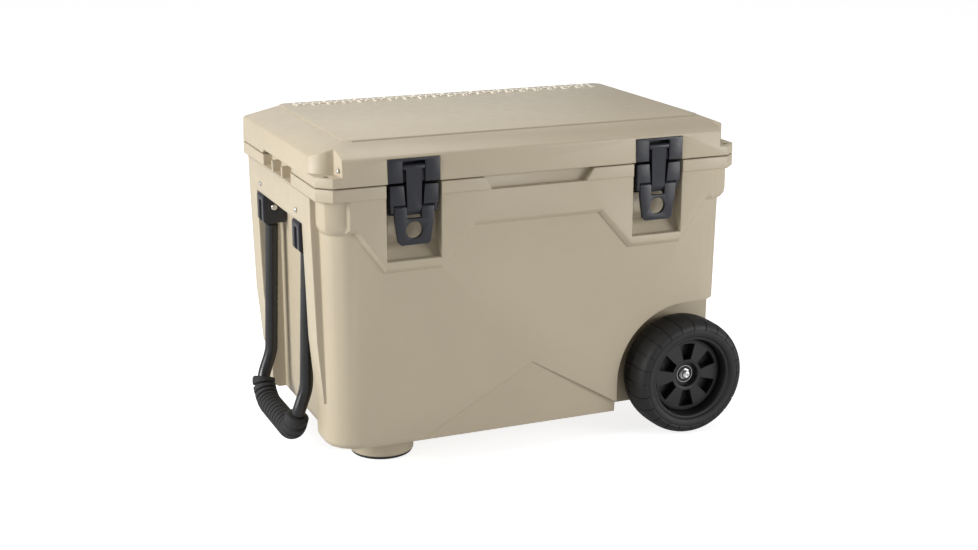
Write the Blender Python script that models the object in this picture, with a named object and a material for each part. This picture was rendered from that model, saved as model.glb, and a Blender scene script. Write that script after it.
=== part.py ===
"""Rotomoulded cooler chest on two wheels, with a drop-down tow handle and two draw latches.

Metres, +Z up. The chest's length runs along X: the handle is at -X, the wheels at +X.
The latches face -Y and the lid hinges along the rear edge at +Y. The floor is z = 0.
Everything is modelled about the chest's own middle, then moved so that the origin is the
bottom centre of the whole object.
"""

import math

import bmesh
import bpy
from mathutils import Matrix, Vector

# ---------------------------------------------------------------- chest
LENGTH = 0.660
DEPTH = 0.424
SEAM = 0.430
BOTTOM = 0.040
RIM_CHAMFER = 0.020
FLANGE_HEIGHT = 0.018
END_INSET = 0.010
SIDE_INSET = 0.008
DRAFT = 0.005
CORNER_ROUND = 0.044
SOLE_EDGE = 0.010
FACET_DEEP = 0.009
FACET_LEDGE = 0.0015
BAND_CHAMFER = 0.006
GAP = 0.0003
RUNNING = 0.0001

# ---------------------------------------------------------------- insulation and liner
WALL_FRONT = 0.032
WALL_HANDLE_END = 0.046
WALL_WHEEL_END = 0.030
FLOOR_THICK = 0.016
FOAM = 0.018
LINER = 0.004
STEP_X = LENGTH / 2 - 0.212
STEP_Z = 0.226

# ---------------------------------------------------------------- lid
SEAM_GAP = 0.002
LID_EDGE = 0.470
LID_TOP = 0.488
PANEL_RAISE = 0.002
PANEL_MARGIN = 0.003
SLOPE_END = 0.047
SLOPE_FRONT = 0.033
SLOPE_REAR = 0.042
LID_SKIN = 0.0120
TAB_HEIGHT = 0.014
TAB_REACH_X = 0.0336
TAB_REACH_Y = 0.058
TAB_HOLE = 0.005
LIFT_HANDLE_END = 0.028
LIFT_WHEEL_END = 0.022

# ---------------------------------------------------------------- hinge
HINGE_OUT = 0.010
KNUCKLE_R = 0.009
ROD_R = 0.004
KNUCKLE_LONG = 0.060
ROD_REACH = 0.258
HINGE_CAP = 0.003

# ---------------------------------------------------------------- handle end
RECESS_HALF = 0.122
RECESS_DEEP = 0.036
RECESS_TOP = 0.366
PAD_WIDTH = 0.043
ARM_SPREAD = 0.096
BRACKET_WIDE = 0.034
BRACKET_DEEP = 0.0355
BRACKET_TALL = 0.045
BRACKET_PROUD = 0.002
SLOT_WIDE = 0.013
PIVOT_IN = 0.0152
PIVOT_Z = 0.3458
LUG_R = 0.009
LUG_THICK = 0.012
LUG_LONG = 0.0335
TUBE_R = 0.010
GRIP_R = 0.0175
ARM_LEAN = 0.0077
ARM_STRAIGHT_Z = 0.122
GRIP_OUT = 0.024
GRIP_Z = 0.038
BAIL_CORNER = 0.045
GRIP_START_Z = 0.070
BOLT_R = 0.004
SCREW_HEAD_R = 0.0038
BOLT_HEAD_R = 0.0052

# ---------------------------------------------------------------- wheels
WHEEL_R = 0.091
WHEEL_X = LENGTH / 2 - 0.079
TYRE_WIDE = 0.069
WHEEL_PROUD = 0.022
RIM_R = 0.060
WELL_CLEAR = 0.022
WELL_SIDE_CLEAR = 0.010
RIM_SUNK = 0.020
AXLE_R = 0.005
BEARING_R = 0.0135
WINDOWS = 6
WINDOW_IN = 0.0245
WINDOW_OUT = 0.0512
RIM_THICK = 0.020
RIM_WEB = 0.004
HUB_R = 0.0200
HUB_SUNK = 0.007

# ---------------------------------------------------------------- feet
FOOT_X = LENGTH / 2 - 0.120
FOOT_Y = 0.102
FOOT_R = 0.048
PAD_THICK = 0.005

# ---------------------------------------------------------------- latches
LATCH_X = LENGTH * 7 / 24
LATCH_RECESS = 0.082
LATCH_DEEP = 0.026
LATCH_FLOOR = 0.320
KEEPER_HALF = 0.0385
KEEPER_TOP = 0.4665
WINDOW_HALF = 0.0168
LINK_BAR_R = 0.0047
LINK_BAR_Z = 0.4535
LEVER_Z = 0.3945
LEVER_BOSS = 0.0055
LEVER_HALF = 0.0295
LEVER_FOOT_Z = 0.343
LEVER_HOLE_R = 0.0125
LEVER_HOLE_Z = 0.3640
LEVER_NOTCH = 0.0140
LINK_OFFSET_Y = 0.0012
LINK_OFFSET_Z = 0.0070
LINK_HALF = 0.0105
PIN_R = 0.0020

# ---------------------------------------------------------------- drain
DRAIN_X = 0.060
DRAIN_Z = 0.101
DRAIN_R = 0.012
DRAIN_BORE = 0.009
DRAIN_FLANGE = 0.020

# ---------------------------------------------------------------- derived places
HALF_X = LENGTH / 2
HALF_Y = DEPTH / 2
LID_SCREW = (0.013 - HALF_Y, 0.454)
FLANGE_Z = SEAM - FLANGE_HEIGHT
LID_BOTTOM = SEAM + SEAM_GAP
HINGE_Y = HALF_Y + HINGE_OUT
HINGE_Z = SEAM + SEAM_GAP / 2
PIVOT_X = PIVOT_IN - HALF_X
WHEEL_Z = WHEEL_R
WELL_R = WHEEL_R + WELL_CLEAR
WELL_DEEP = TYRE_WIDE - WHEEL_PROUD + WELL_SIDE_CLEAR
LEVER_Y = LEVER_BOSS + 0.0005 - HALF_Y
POCKET_LOW = Vector((WALL_HANDLE_END - HALF_X, WALL_FRONT - HALF_Y, BOTTOM + FLOOR_THICK))
POCKET_HIGH = Vector((HALF_X - WALL_WHEEL_END, HALF_Y - WALL_FRONT, SEAM))
GRIP_LEFT = PIVOT_X - GRIP_OUT - GRIP_R
TYRE_RIGHT = WHEEL_X + WHEEL_R
REAR_END = HALF_Y + WHEEL_PROUD
FRONT_END = -HALF_Y - WHEEL_PROUD
CENTRING = Vector((-(GRIP_LEFT + TYRE_RIGHT) / 2, -(REAR_END + FRONT_END) / 2, 0.0))


def clear_scene():
    """Removes whatever the file holds."""
    for obj in list(bpy.data.objects):
        bpy.data.objects.remove(obj, do_unlink=True)


def make_material(name, colour, roughness, metallic=0.0):
    """A Principled material with the part's colour."""
    mat = bpy.data.materials.new(name)
    mat.use_nodes = True
    shader = mat.node_tree.nodes["Principled BSDF"]
    shader.inputs["Base Color"].default_value = (*colour, 1.0)
    shader.inputs["Roughness"].default_value = roughness
    shader.inputs["Metallic"].default_value = metallic
    mat.diffuse_color = (*colour, 1.0)
    return mat


def add_object(name, bm, mat=None, smooth_angle=35.0):
    """Links a closed mesh as an object whose faces point out."""
    bmesh.ops.recalc_face_normals(bm, faces=bm.faces)
    mesh = bpy.data.meshes.new(name)
    bm.to_mesh(mesh)
    bm.free()
    mesh.shade_smooth()
    mesh.set_sharp_from_angle(angle=math.radians(smooth_angle))
    obj = bpy.data.objects.new(name, mesh)
    bpy.context.scene.collection.objects.link(obj)
    if mat:
        mesh.materials.append(mat)
    return obj


def loft(name, rings, mat=None):
    """A closed solid through rings of equal point count, with flat caps."""
    bm = bmesh.new()
    loops = [[bm.verts.new(point) for point in ring] for ring in rings]
    for low, high in zip(loops, loops[1:]):
        count = len(low)
        for i in range(count):
            j = (i + 1) % count
            bm.faces.new((low[i], low[j], high[j], high[i]))
    bm.faces.new(loops[0])
    bm.faces.new(loops[-1])
    return add_object(name, bm, mat)


def prism(name, outline, axis, low, high, mat=None):
    """An outline extruded along X, Y or Z. The outline holds the two other axes, in order."""
    place = {
        "x": lambda a, b, along: (along, a, b),
        "y": lambda a, b, along: (a, along, b),
        "z": lambda a, b, along: (a, b, along),
    }[axis]
    return loft(name, [[place(a, b, along) for a, b in outline] for along in (low, high)], mat)


def box(name, low, high, mat=None):
    """A box between two corners."""
    outline = [(low[0], low[1]), (high[0], low[1]), (high[0], high[1]), (low[0], high[1])]
    return prism(name, outline, "z", low[2], high[2], mat)


def circle(radius, centre=(0.0, 0.0), sides=48):
    """Points of a circle."""
    step = 2 * math.pi / sides
    return [
        (centre[0] + radius * math.cos(i * step), centre[1] + radius * math.sin(i * step))
        for i in range(sides)
    ]


def cylinder(name, axis, centre, radius, low, high, mat=None, sides=32):
    """A round bar along an axis; centre holds the two other coordinates."""
    return prism(name, circle(radius, centre, sides), axis, low, high, mat)


def turned(name, axis, centre, profile, mat=None, sides=48):
    """A closed profile of (radius, along) points turned about an axis."""
    step = 2 * math.pi / sides
    place = {
        "x": lambda a, b, along: (along, centre[0] + a, centre[1] + b),
        "y": lambda a, b, along: (centre[0] + a, along, centre[1] + b),
        "z": lambda a, b, along: (centre[0] + a, centre[1] + b, along),
    }[axis]
    bm = bmesh.new()
    rings = []
    for radius, along in profile:
        ring = [
            bm.verts.new(place(radius * math.cos(i * step), radius * math.sin(i * step), along))
            for i in range(sides)
        ]
        rings.append(ring)
    for first, second in zip(rings, rings[1:] + rings[:1]):
        for i in range(sides):
            j = (i + 1) % sides
            bm.faces.new((first[i], first[j], second[j], second[i]))
    return add_object(name, bm, mat)


def spindle(name, axis, centre, profile, mat=None, sides=16):
    """A solid round piece through (radius, along) points, with flat ends."""
    place = {
        "x": lambda a, b, along: (along, a, b),
        "y": lambda a, b, along: (a, along, b),
        "z": lambda a, b, along: (a, b, along),
    }[axis]
    rings = [[place(a, b, along) for a, b in circle(radius, centre, sides)] for radius, along in profile]
    return loft(name, rings, mat)


def chamfered_plan(end, side, corner_x, corner_y, steps=1):
    """A rectangle's outline with its corners cut: one flat step, or several along a round."""
    points = []
    for sign_x, sign_y in ((-1, -1), (1, -1), (1, 1), (-1, 1)):
        arc = []
        for i in range(steps + 1):
            turn = math.pi / 2 * i / steps
            x = end - corner_x * (1 - math.cos(turn))
            y = side - corner_y * (1 - math.sin(turn))
            arc.append((sign_x * x, sign_y * y))
        points += arc if sign_x * sign_y > 0 else arc[::-1]
    return points


def grown(outline, amount):
    """The outline with every side moved out by the same amount; its points run anticlockwise."""
    points = [Vector(point) for point in outline]
    made = []
    for i, point in enumerate(points):
        before = (point - points[i - 1]).normalized()
        after = (points[(i + 1) % len(points)] - point).normalized()
        first, second = Vector((before.y, -before.x)), Vector((after.y, -after.x))
        made.append(tuple(point + (first + second) * (amount / (1 + first.dot(second)))))
    return made


def at_height(outline, z):
    """The outline as points at one height."""
    return [(x, y, z) for x, y in outline]


def bool_with(target, others, operation):
    """Cuts the others from the target, or joins them to it, and leaves them as wire guides."""
    for other in others:
        modifier = target.modifiers.new(f"{operation.lower()}_{other.name}", "BOOLEAN")
        modifier.operation = operation
        modifier.solver = "EXACT"
        modifier.object = other
        other.hide_render = True
        other.display_type = "WIRE"
    return target


def cut(target, *others):
    """Removes each of the others from the target."""
    return bool_with(target, others, "DIFFERENCE")


def join(target, *others):
    """Adds each of the others to the target."""
    return bool_with(target, others, "UNION")


def swept_tube(name, path, outer, inner, mat, sides=14):
    """A round tube along a planar-normal path; inner is 0 for a solid bar."""
    bm = bmesh.new()
    side_axis = Vector((1.0, 0.0, 0.0))
    rings = {outer: [], inner: []} if inner else {outer: []}
    for i, point in enumerate(path):
        ahead = path[min(i + 1, len(path) - 1)] - path[max(i - 1, 0)]
        tangent = ahead.normalized()
        across = (side_axis - tangent * side_axis.dot(tangent)).normalized()
        up = tangent.cross(across)
        for radius, loops in rings.items():
            ring = []
            for k in range(sides):
                turn = 2 * math.pi * k / sides
                offset = across * math.cos(turn) + up * math.sin(turn)
                ring.append(bm.verts.new(point + offset * radius))
            loops.append(ring)
    for loops in rings.values():
        for first, second in zip(loops, loops[1:]):
            for k in range(sides):
                j = (k + 1) % sides
                bm.faces.new((first[k], first[j], second[j], second[k]))
    for end in (0, -1):
        if inner:
            for k in range(sides):
                j = (k + 1) % sides
                out, bore = rings[outer][end], rings[inner][end]
                bm.faces.new((out[k], out[j], bore[j], bore[k]))
        else:
            bm.faces.new(rings[outer][end])
    return add_object(name, bm, mat)


# ==================================================================== chest


def well_outline():
    """The wheel arch: round over the wheel, then straight out through the end and the sole."""
    points = []
    for i in range(13):
        turn = math.pi - math.pi / 2 * i / 12
        points.append((WHEEL_X + WELL_R * math.cos(turn), WHEEL_Z + WELL_R * math.sin(turn)))
    beyond = HALF_X + 0.05
    points += [(beyond, WHEEL_Z + WELL_R), (beyond, -0.01), (WHEEL_X - WELL_R, -0.01)]
    return points


def tub_outline(inset):
    """Side view of the stepped inside, a wall thickness further in at each layer."""
    low, high = POCKET_LOW, POCKET_HIGH
    return [
        (low.x + inset, low.z + inset),
        (STEP_X - inset, low.z + inset),
        (STEP_X - inset, STEP_Z + inset),
        (high.x - inset, STEP_Z + inset),
        (high.x - inset, SEAM + 0.02),
        (low.x + inset, SEAM + 0.02),
    ]


def tub_solid(name, inset, top=None, mat=None):
    """The stepped inside as a solid block."""
    outline = tub_outline(inset)
    if top is not None:
        outline[-2] = (outline[-2][0], top)
        outline[-1] = (outline[-1][0], top)
    return prism(name, outline, "y", POCKET_LOW.y + inset, POCKET_HIGH.y - inset, mat)


def shell_blank(mats):
    """Draft-tapered chest walls with rounded corners, a rounded sole edge and the top flange."""
    levels = [(BOTTOM, DRAFT + SOLE_EDGE), (BOTTOM + SOLE_EDGE * 0.35, DRAFT + SOLE_EDGE * 0.35),
              (BOTTOM + SOLE_EDGE, DRAFT), (SEAM - 0.004, 0.0)]
    rings = []
    for z, inset in levels:
        outline = chamfered_plan(
            HALF_X - END_INSET - inset, HALF_Y - SIDE_INSET - inset, CORNER_ROUND, CORNER_ROUND, 4
        )
        rings.append(at_height(outline, z))
    blank = loft("body_shell", rings, mats["tan"])
    flange_plan = chamfered_plan(HALF_X, HALF_Y, RIM_CHAMFER, RIM_CHAMFER)
    flange = prism("flange_guide", flange_plan, "z", FLANGE_Z, SEAM)
    return join(blank, flange)


def handle_pads():
    """The block on the handle end whose middle is cut away, leaving a pad beside each arm."""
    merge = HALF_X - END_INSET - DRAFT * 0.5 - 0.0005
    outline = [
        (-HALF_X, FLANGE_Z + 0.004),
        (-HALF_X + 0.0005, RECESS_TOP),
        (-HALF_X + 0.005, 0.200),
        (-merge, 0.108),
        (-merge + 0.03, 0.100),
        (-merge + 0.03, FLANGE_Z + 0.004),
    ]
    reach = RECESS_HALF + PAD_WIDTH
    return prism("pad_guide", outline, "y", -reach, reach)


def handle_recess():
    """The bay that the handle hangs in, open at the end and underneath."""
    low = (-HALF_X - 0.05, -RECESS_HALF, -0.01)
    high = (-HALF_X + RECESS_DEEP, RECESS_HALF, RECESS_TOP)
    return box("bay_guide", low, high)


def grip_pockets(sign):
    """Three finger pockets under the lid's end edge."""
    pockets = []
    for i in (-1, 0, 1):
        centre = i * 0.051
        low_x = HALF_X - 0.014
        outline = [(sign * low_x, SEAM - 0.016), (sign * (HALF_X + 0.01), SEAM - 0.016),
                   (sign * (HALF_X + 0.01), SEAM + 0.01), (sign * low_x, SEAM + 0.01)]
        name = f"pocket_guide_{'left' if sign < 0 else 'right'}_{i + 1}"
        pockets.append(prism(name, outline, "y", centre - 0.0225, centre + 0.0225))
    return pockets


def corner_block(sign_x):
    """The rounded block under the flange's front corner, drawn in to the column at its foot."""
    plan = [(-0.008, 0.075), (-0.008, 0.030), (-0.0125, 0.018), (-0.025, 0.0085),
            (-0.039, 0.0058), (-0.047, 0.0075), (-0.058, 0.0250), (-0.058, 0.075)]
    side = "left" if sign_x < 0 else "right"
    rings = []
    for z, inward in ((0.358, 0.011), (0.364, 0.0045), (0.371, 0.0008), (0.378, 0.0), (FLANGE_Z + 0.004, 0.0)):
        rings.append([(sign_x * (HALF_X + x - inward), -HALF_Y + y + inward, z) for x, y in plan])
    return loft(f"corner_guide_{side}", rings)


def front_band():
    """The raised shoulder that wraps both latches on the front."""
    outline = [(-0.286, FLANGE_Z + 0.004), (-0.286, 0.371), (-0.2765, 0.371), (-0.232, 0.310),
               (-0.151, 0.310), (-0.101, 0.367), (0.101, 0.367), (0.151, 0.310),
               (0.232, 0.310), (0.2765, 0.371), (0.286, 0.371), (0.286, FLANGE_Z + 0.004)]
    face = -HALF_Y + 0.0015
    wide = grown(outline, BAND_CHAMFER)
    layers = ((outline, face), (wide, face + BAND_CHAMFER), (wide, -HALF_Y + 0.030))
    return loft("band_guide", [[(x, y, z) for x, z in plan] for plan, y in layers])


def finger_recess():
    """The shallow trapezium in the front flange for lifting the lid."""
    outline = [(-0.075, FLANGE_Z), (0.075, FLANGE_Z), (0.092, SEAM + 0.01), (-0.092, SEAM + 0.01)]
    return prism("finger_guide", outline, "y", -HALF_Y - 0.02, -HALF_Y + 0.012)


def latch_recess(side, centre):
    """The pocket that one latch sits in, with a floor that falls outward."""
    back = -HALF_Y + LATCH_DEEP
    outline = [(-HALF_Y - 0.02, LATCH_FLOOR), (-HALF_Y + 0.012, LATCH_FLOOR + 0.001),
               (back, LATCH_FLOOR + 0.023), (back, SEAM + 0.01), (-HALF_Y - 0.02, SEAM + 0.01)]
    half = LATCH_RECESS / 2
    return prism(f"latch_bay_guide_{side}", outline, "x", centre - half, centre + half)


def front_facet():
    """A three-sided hollow low on the front: nothing at its apex, deepest along the sole."""
    face = -HALF_Y + SIDE_INSET
    apex = Vector((-0.005, face - 0.02, 0.142))
    corners = [Vector((-0.206, face - 0.02, 0.030)), Vector((0.185, face - 0.02, 0.030))]
    bm = bmesh.new()
    front = [bm.verts.new(p) for p in (apex, corners[0], corners[1])]
    slope = DRAFT / (SEAM - BOTTOM)
    deep = face + (SEAM - apex.z) * slope + FACET_LEDGE
    back_apex = bm.verts.new((apex.x, deep, apex.z))
    back = [bm.verts.new((c.x, face + DRAFT + FACET_DEEP, c.z)) for c in corners]
    bm.faces.new(front)
    bm.faces.new((back_apex, back[0], back[1]))
    bm.faces.new((front[0], front[1], back[0], back_apex))
    bm.faces.new((front[0], front[2], back[1], back_apex))
    bm.faces.new((front[1], front[2], back[1], back[0]))
    bmesh.ops.triangulate(bm, faces=bm.faces)
    return add_object("facet_guide", bm)


def make_chest(mats):
    """The outer shell with its bays, wells, feet bosses, hinge knuckles and bores."""
    shell = shell_blank(mats)
    join(shell, handle_pads(), front_band(), corner_block(-1), corner_block(1))
    for sign_y, name in ((-1, "front"), (1, "rear")):
        boss = cylinder(f"boss_guide_{name}", "z", (-FOOT_X, sign_y * FOOT_Y), FOOT_R,
                        PAD_THICK + GAP, BOTTOM + 0.01, sides=40)
        join(shell, boss)
    for i, (low, high) in enumerate(knuckle_spans("body")):
        join(shell, knuckle(f"body_knuckle_guide_{i}", low, high, "body"))
    cut(shell, handle_recess(), finger_recess(), front_facet())
    for sign in (-1, 1):
        cut(shell, *grip_pockets(sign))
    for side, centre in (("left", -LATCH_X), ("right", LATCH_X)):
        cut(shell, latch_recess(side, centre))
    inner = HALF_Y - WELL_DEEP
    for sign, name in ((-1, "front"), (1, "rear")):
        span = sorted((sign * inner, sign * (HALF_Y + 0.05)))
        cut(shell, prism(f"well_guide_{name}", well_outline(), "y", *span))
    cut(shell, cylinder("axle_bore_guide", "y", (WHEEL_X, WHEEL_Z), AXLE_R + GAP, -HALF_Y, HALF_Y, sides=48))
    cut(shell, tub_solid("pocket_guide", 0.0))
    cut(shell, cylinder("hinge_bore_guide", "x", (HINGE_Y, HINGE_Z), ROD_R + RUNNING, -0.4, 0.4, sides=24))
    cut(shell, drain_hole("drain_bore_guide", DRAIN_R + GAP), drain_seat())
    for sign, name in ((-1, "front"), (1, "rear")):
        cut(shell, bracket_screw_hole(name, sign * ARM_SPREAD))
    return shell


def make_insulation(mats):
    """The foam tub in the shell's pocket and the liner that lines it and covers its rim."""
    rim = 0.0035
    foam = tub_solid("foam_core", GAP, SEAM - rim - GAP, mats["foam"])
    cut(foam, tub_solid("foam_hollow_guide", FOAM))
    liner = tub_solid("inner_liner", FOAM + GAP, SEAM - 0.001, mats["liner"])
    low = (POCKET_LOW.x + GAP, POCKET_LOW.y + GAP, SEAM - rim)
    high = (POCKET_HIGH.x - GAP, POCKET_HIGH.y - GAP, SEAM)
    join(liner, box("liner_rim_guide", low, high))
    cut(liner, tub_solid("cavity_guide", FOAM + GAP + LINER))
    for tub, name in ((foam, "foam"), (liner, "liner")):
        cut(tub, drain_hole(f"{name}_drain_guide", DRAIN_R + GAP))
    return foam, liner


# ==================================================================== lid


def knuckle_spans(owner):
    """Where the shell's or the lid's knuckles lie along the hinge."""
    if owner == "body":
        starts = [-0.260, -KNUCKLE_LONG / 2, 0.260 - KNUCKLE_LONG]
    else:
        starts = [-0.260 + KNUCKLE_LONG + 0.001, 0.260 - 2 * KNUCKLE_LONG - 0.001]
    return [(start, start + KNUCKLE_LONG) for start in starts]


def knuckle(name, low, high, owner):
    """A hinge barrel with the web that ties it to the wall."""
    points = []
    root = HALF_Y - 0.006
    if owner == "body":
        for i in range(15):
            turn = math.radians(-75 + 255 * i / 14)
            points.append((HINGE_Y + KNUCKLE_R * math.cos(turn), HINGE_Z + KNUCKLE_R * math.sin(turn)))
        points[-1] = (HINGE_Y - KNUCKLE_R, HINGE_Z - SEAM_GAP)
        points += [(root, HINGE_Z - SEAM_GAP), (root, FLANGE_Z - 0.002)]
    else:
        for i in range(15):
            turn = math.radians(75 - 255 * i / 14)
            points.append((HINGE_Y + KNUCKLE_R * math.cos(turn), HINGE_Z + KNUCKLE_R * math.sin(turn)))
        points[-1] = (HINGE_Y - KNUCKLE_R, HINGE_Z + SEAM_GAP)
        points += [(root, HINGE_Z + SEAM_GAP), (root, HINGE_Z + 0.022)]
    return prism(name, points, "x", low, high)


def lid_corner_cut(sign_x):
    """Cuts the lid's front corner back above the padlock tab."""
    reach = ((-0.010, -0.010), (TAB_REACH_X, -0.010), (TAB_REACH_X, 0.0), (TAB_REACH_X - 0.0016, 0.031),
             (0.023, 0.0325), (0.0135, 0.037), (0.006, 0.045), (0.0015, 0.052), (0.0, TAB_REACH_Y), (-0.010, TAB_REACH_Y))
    outline = [(sign_x * (HALF_X - x), -HALF_Y + y) for x, y in reach]
    side = "left" if sign_x < 0 else "right"
    return prism(f"tab_guide_{side}", outline, "z", LID_BOTTOM + TAB_HEIGHT, LID_TOP + 0.01)


def make_lid(mats):
    """The lid's outer shell, its foam slab, its underside panel and the seal."""
    bevel = 0.0035
    full = chamfered_plan(HALF_X, HALF_Y, RIM_CHAMFER, RIM_CHAMFER)
    edge = chamfered_plan(HALF_X - 0.001, HALF_Y - 0.001, RIM_CHAMFER, RIM_CHAMFER)
    offset_y = (SLOPE_FRONT - SLOPE_REAR) / 2
    half_top_y = HALF_Y - (SLOPE_FRONT + SLOPE_REAR) / 2
    top = [(x, y + offset_y) for x, y in chamfered_plan(HALF_X - SLOPE_END, half_top_y, 0.012, 0.012)]
    inside = chamfered_plan(HALF_X - SLOPE_END - PANEL_MARGIN, half_top_y - PANEL_MARGIN, 0.010, 0.010)
    panel = [(x, y + offset_y) for x, y in inside]
    rings = [at_height(full, LID_BOTTOM), at_height(edge, LID_EDGE), at_height(top, LID_TOP)]
    shell = loft("lid_shell", rings, mats["tan"])
    join(shell, prism("panel_guide", panel, "z", LID_TOP - bevel, LID_TOP + PANEL_RAISE))
    for i, (low, high) in enumerate(knuckle_spans("lid")):
        join(shell, knuckle(f"lid_knuckle_guide_{i}", low, high, "lid"))
    for i, (low, high) in enumerate(knuckle_spans("body")):
        clearance = cylinder(f"lid_scoop_guide_{i}", "x", (HINGE_Y, HINGE_Z), KNUCKLE_R + 0.001,
                             low - 0.001, high + 0.001, sides=24)
        cut(shell, clearance)
    pocket_top = LID_TOP - LID_SKIN
    low = (POCKET_LOW.x, POCKET_LOW.y, LID_BOTTOM - 0.01)
    cut(shell, box("lid_pocket_guide", low, (POCKET_HIGH.x, POCKET_HIGH.y, pocket_top)))
    for sign in (-1, 1):
        cut(shell, lid_corner_cut(sign), tab_hole(sign), lid_end_lift(sign), lid_screw_hole(sign))
    for side, centre in (("left", -LATCH_X), ("right", LATCH_X)):
        cut(shell, keeper_bay(side, centre))
    cut(shell, cylinder("lid_rod_guide", "x", (HINGE_Y, HINGE_Z), ROD_R + RUNNING, -0.4, 0.4, sides=24))
    plate_top = LID_BOTTOM + 0.0075
    foam_low = (POCKET_LOW.x + GAP, POCKET_LOW.y + GAP, plate_top + GAP)
    foam_high = (POCKET_HIGH.x - GAP, POCKET_HIGH.y - GAP, pocket_top - GAP)
    foam = box("lid_foam", foam_low, foam_high, mats["foam"])
    plate_low = (POCKET_LOW.x + GAP, POCKET_LOW.y + GAP, LID_BOTTOM + 0.0005)
    plate = box("lid_liner", plate_low, (foam_high[0], foam_high[1], plate_top), mats["liner"])
    inset = FOAM + GAP + LINER + 0.004
    plug_low = (POCKET_LOW.x + inset, POCKET_LOW.y + inset, SEAM - 0.018)
    plug_high = (POCKET_HIGH.x - inset, POCKET_HIGH.y - inset, LID_BOTTOM + 0.003)
    join(plate, box("plug_guide", plug_low, plug_high))
    seal = make_seal(mats)
    return [shell, foam, plate, seal]


def make_seal(mats):
    """The rubber ring between the lid's underside and the liner's rim."""
    out, bore = 0.005, 0.013
    low = (POCKET_LOW.x + out, POCKET_LOW.y + out, SEAM + GAP)
    high = (POCKET_HIGH.x - out, POCKET_HIGH.y - out, LID_BOTTOM + 0.0002)
    seal = box("lid_seal", low, high, mats["rubber"])
    hole_low = (POCKET_LOW.x + bore, POCKET_LOW.y + bore, SEAM - 0.01)
    return cut(seal, box("seal_hole_guide", hole_low, (POCKET_HIGH.x - bore, POCKET_HIGH.y - bore, SEAM + 0.02)))


def tab_hole(sign):
    """The padlock hole through the lid's corner tab."""
    side = "left" if sign < 0 else "right"
    centre = (sign * (HALF_X - 0.017), -HALF_Y + 0.017)
    return cylinder(f"tab_hole_guide_{side}", "z", centre, TAB_HOLE, LID_BOTTOM - 0.01,
                    LID_BOTTOM + TAB_HEIGHT + 0.01, sides=20)


def lid_end_lift(sign):
    """Raises the lid's end edge over the finger pockets."""
    outline = [(-0.088, LID_BOTTOM - 0.01), (-0.088, LID_BOTTOM), (-0.081, LID_BOTTOM + 0.006),
               (0.070, LID_BOTTOM + 0.006), (0.077, LID_BOTTOM), (0.077, LID_BOTTOM - 0.01)]
    side = "left" if sign < 0 else "right"
    depth = LIFT_HANDLE_END if sign < 0 else LIFT_WHEEL_END
    span = sorted((sign * (HALF_X - depth), sign * (HALF_X + 0.01)))
    return prism(f"lift_guide_{side}", outline, "x", *span)


def keeper_bay(side, centre):
    """The pocket in the lid's front that one keeper fills."""
    half = KEEPER_HALF + GAP
    low = (centre - half, -HALF_Y - 0.02, LID_BOTTOM - 0.01)
    return box(f"keeper_bay_guide_{side}", low, (centre + half, -HALF_Y + 0.022, KEEPER_TOP + GAP))


def screw(name, axis, centre, head_at, inward, head_r, shank_r, length, mat):
    """A pan-head screw: head_at is the seat, inward is the sign of the shank's direction."""
    head = 0.0022
    profile = [
        (head_r * 0.62, head_at - inward * head),
        (head_r, head_at - inward * head * 0.35),
        (head_r, head_at),
        (shank_r, head_at),
        (shank_r, head_at + inward * length),
    ]
    return spindle(name, axis, centre, profile, mat, 16)


def make_lid_screws(mats):
    """One screw in each front corner of the lid."""
    made = []
    for sign, side in ((-1, "left"), (1, "right")):
        seat = sign * (HALF_X - TAB_REACH_X + 0.0014 + GAP)
        made.append(screw(f"lid_screw_{side}", "x", LID_SCREW, seat, -sign, 0.0036, 0.0018, 0.010, mats["steel"]))
    return made


def lid_screw_hole(sign):
    """The blind hole for a lid corner screw."""
    side = "left" if sign < 0 else "right"
    span = sorted((sign * (HALF_X - TAB_REACH_X - 0.0105), sign * (HALF_X - TAB_REACH_X + 0.01)))
    return cylinder(f"lid_screw_guide_{side}", "x", LID_SCREW, 0.0018 + GAP, *span, sides=16)


def make_hinge(mats):
    """The long rod through every knuckle and the plug that closes each end."""
    rod = cylinder("hinge_rod", "x", (HINGE_Y, HINGE_Z), ROD_R, -ROD_REACH, ROD_REACH, mats["steel"], 24)
    caps = []
    for sign, side in ((-1, "left"), (1, "right")):
        span = sorted((sign * (0.260 + GAP), sign * (0.260 + GAP + HINGE_CAP)))
        caps.append(cylinder(f"hinge_cap_{side}", "x", (HINGE_Y, HINGE_Z), KNUCKLE_R * 0.8, *span, mats["slate"], 24))
    return [rod] + caps


# ==================================================================== latches


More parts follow.
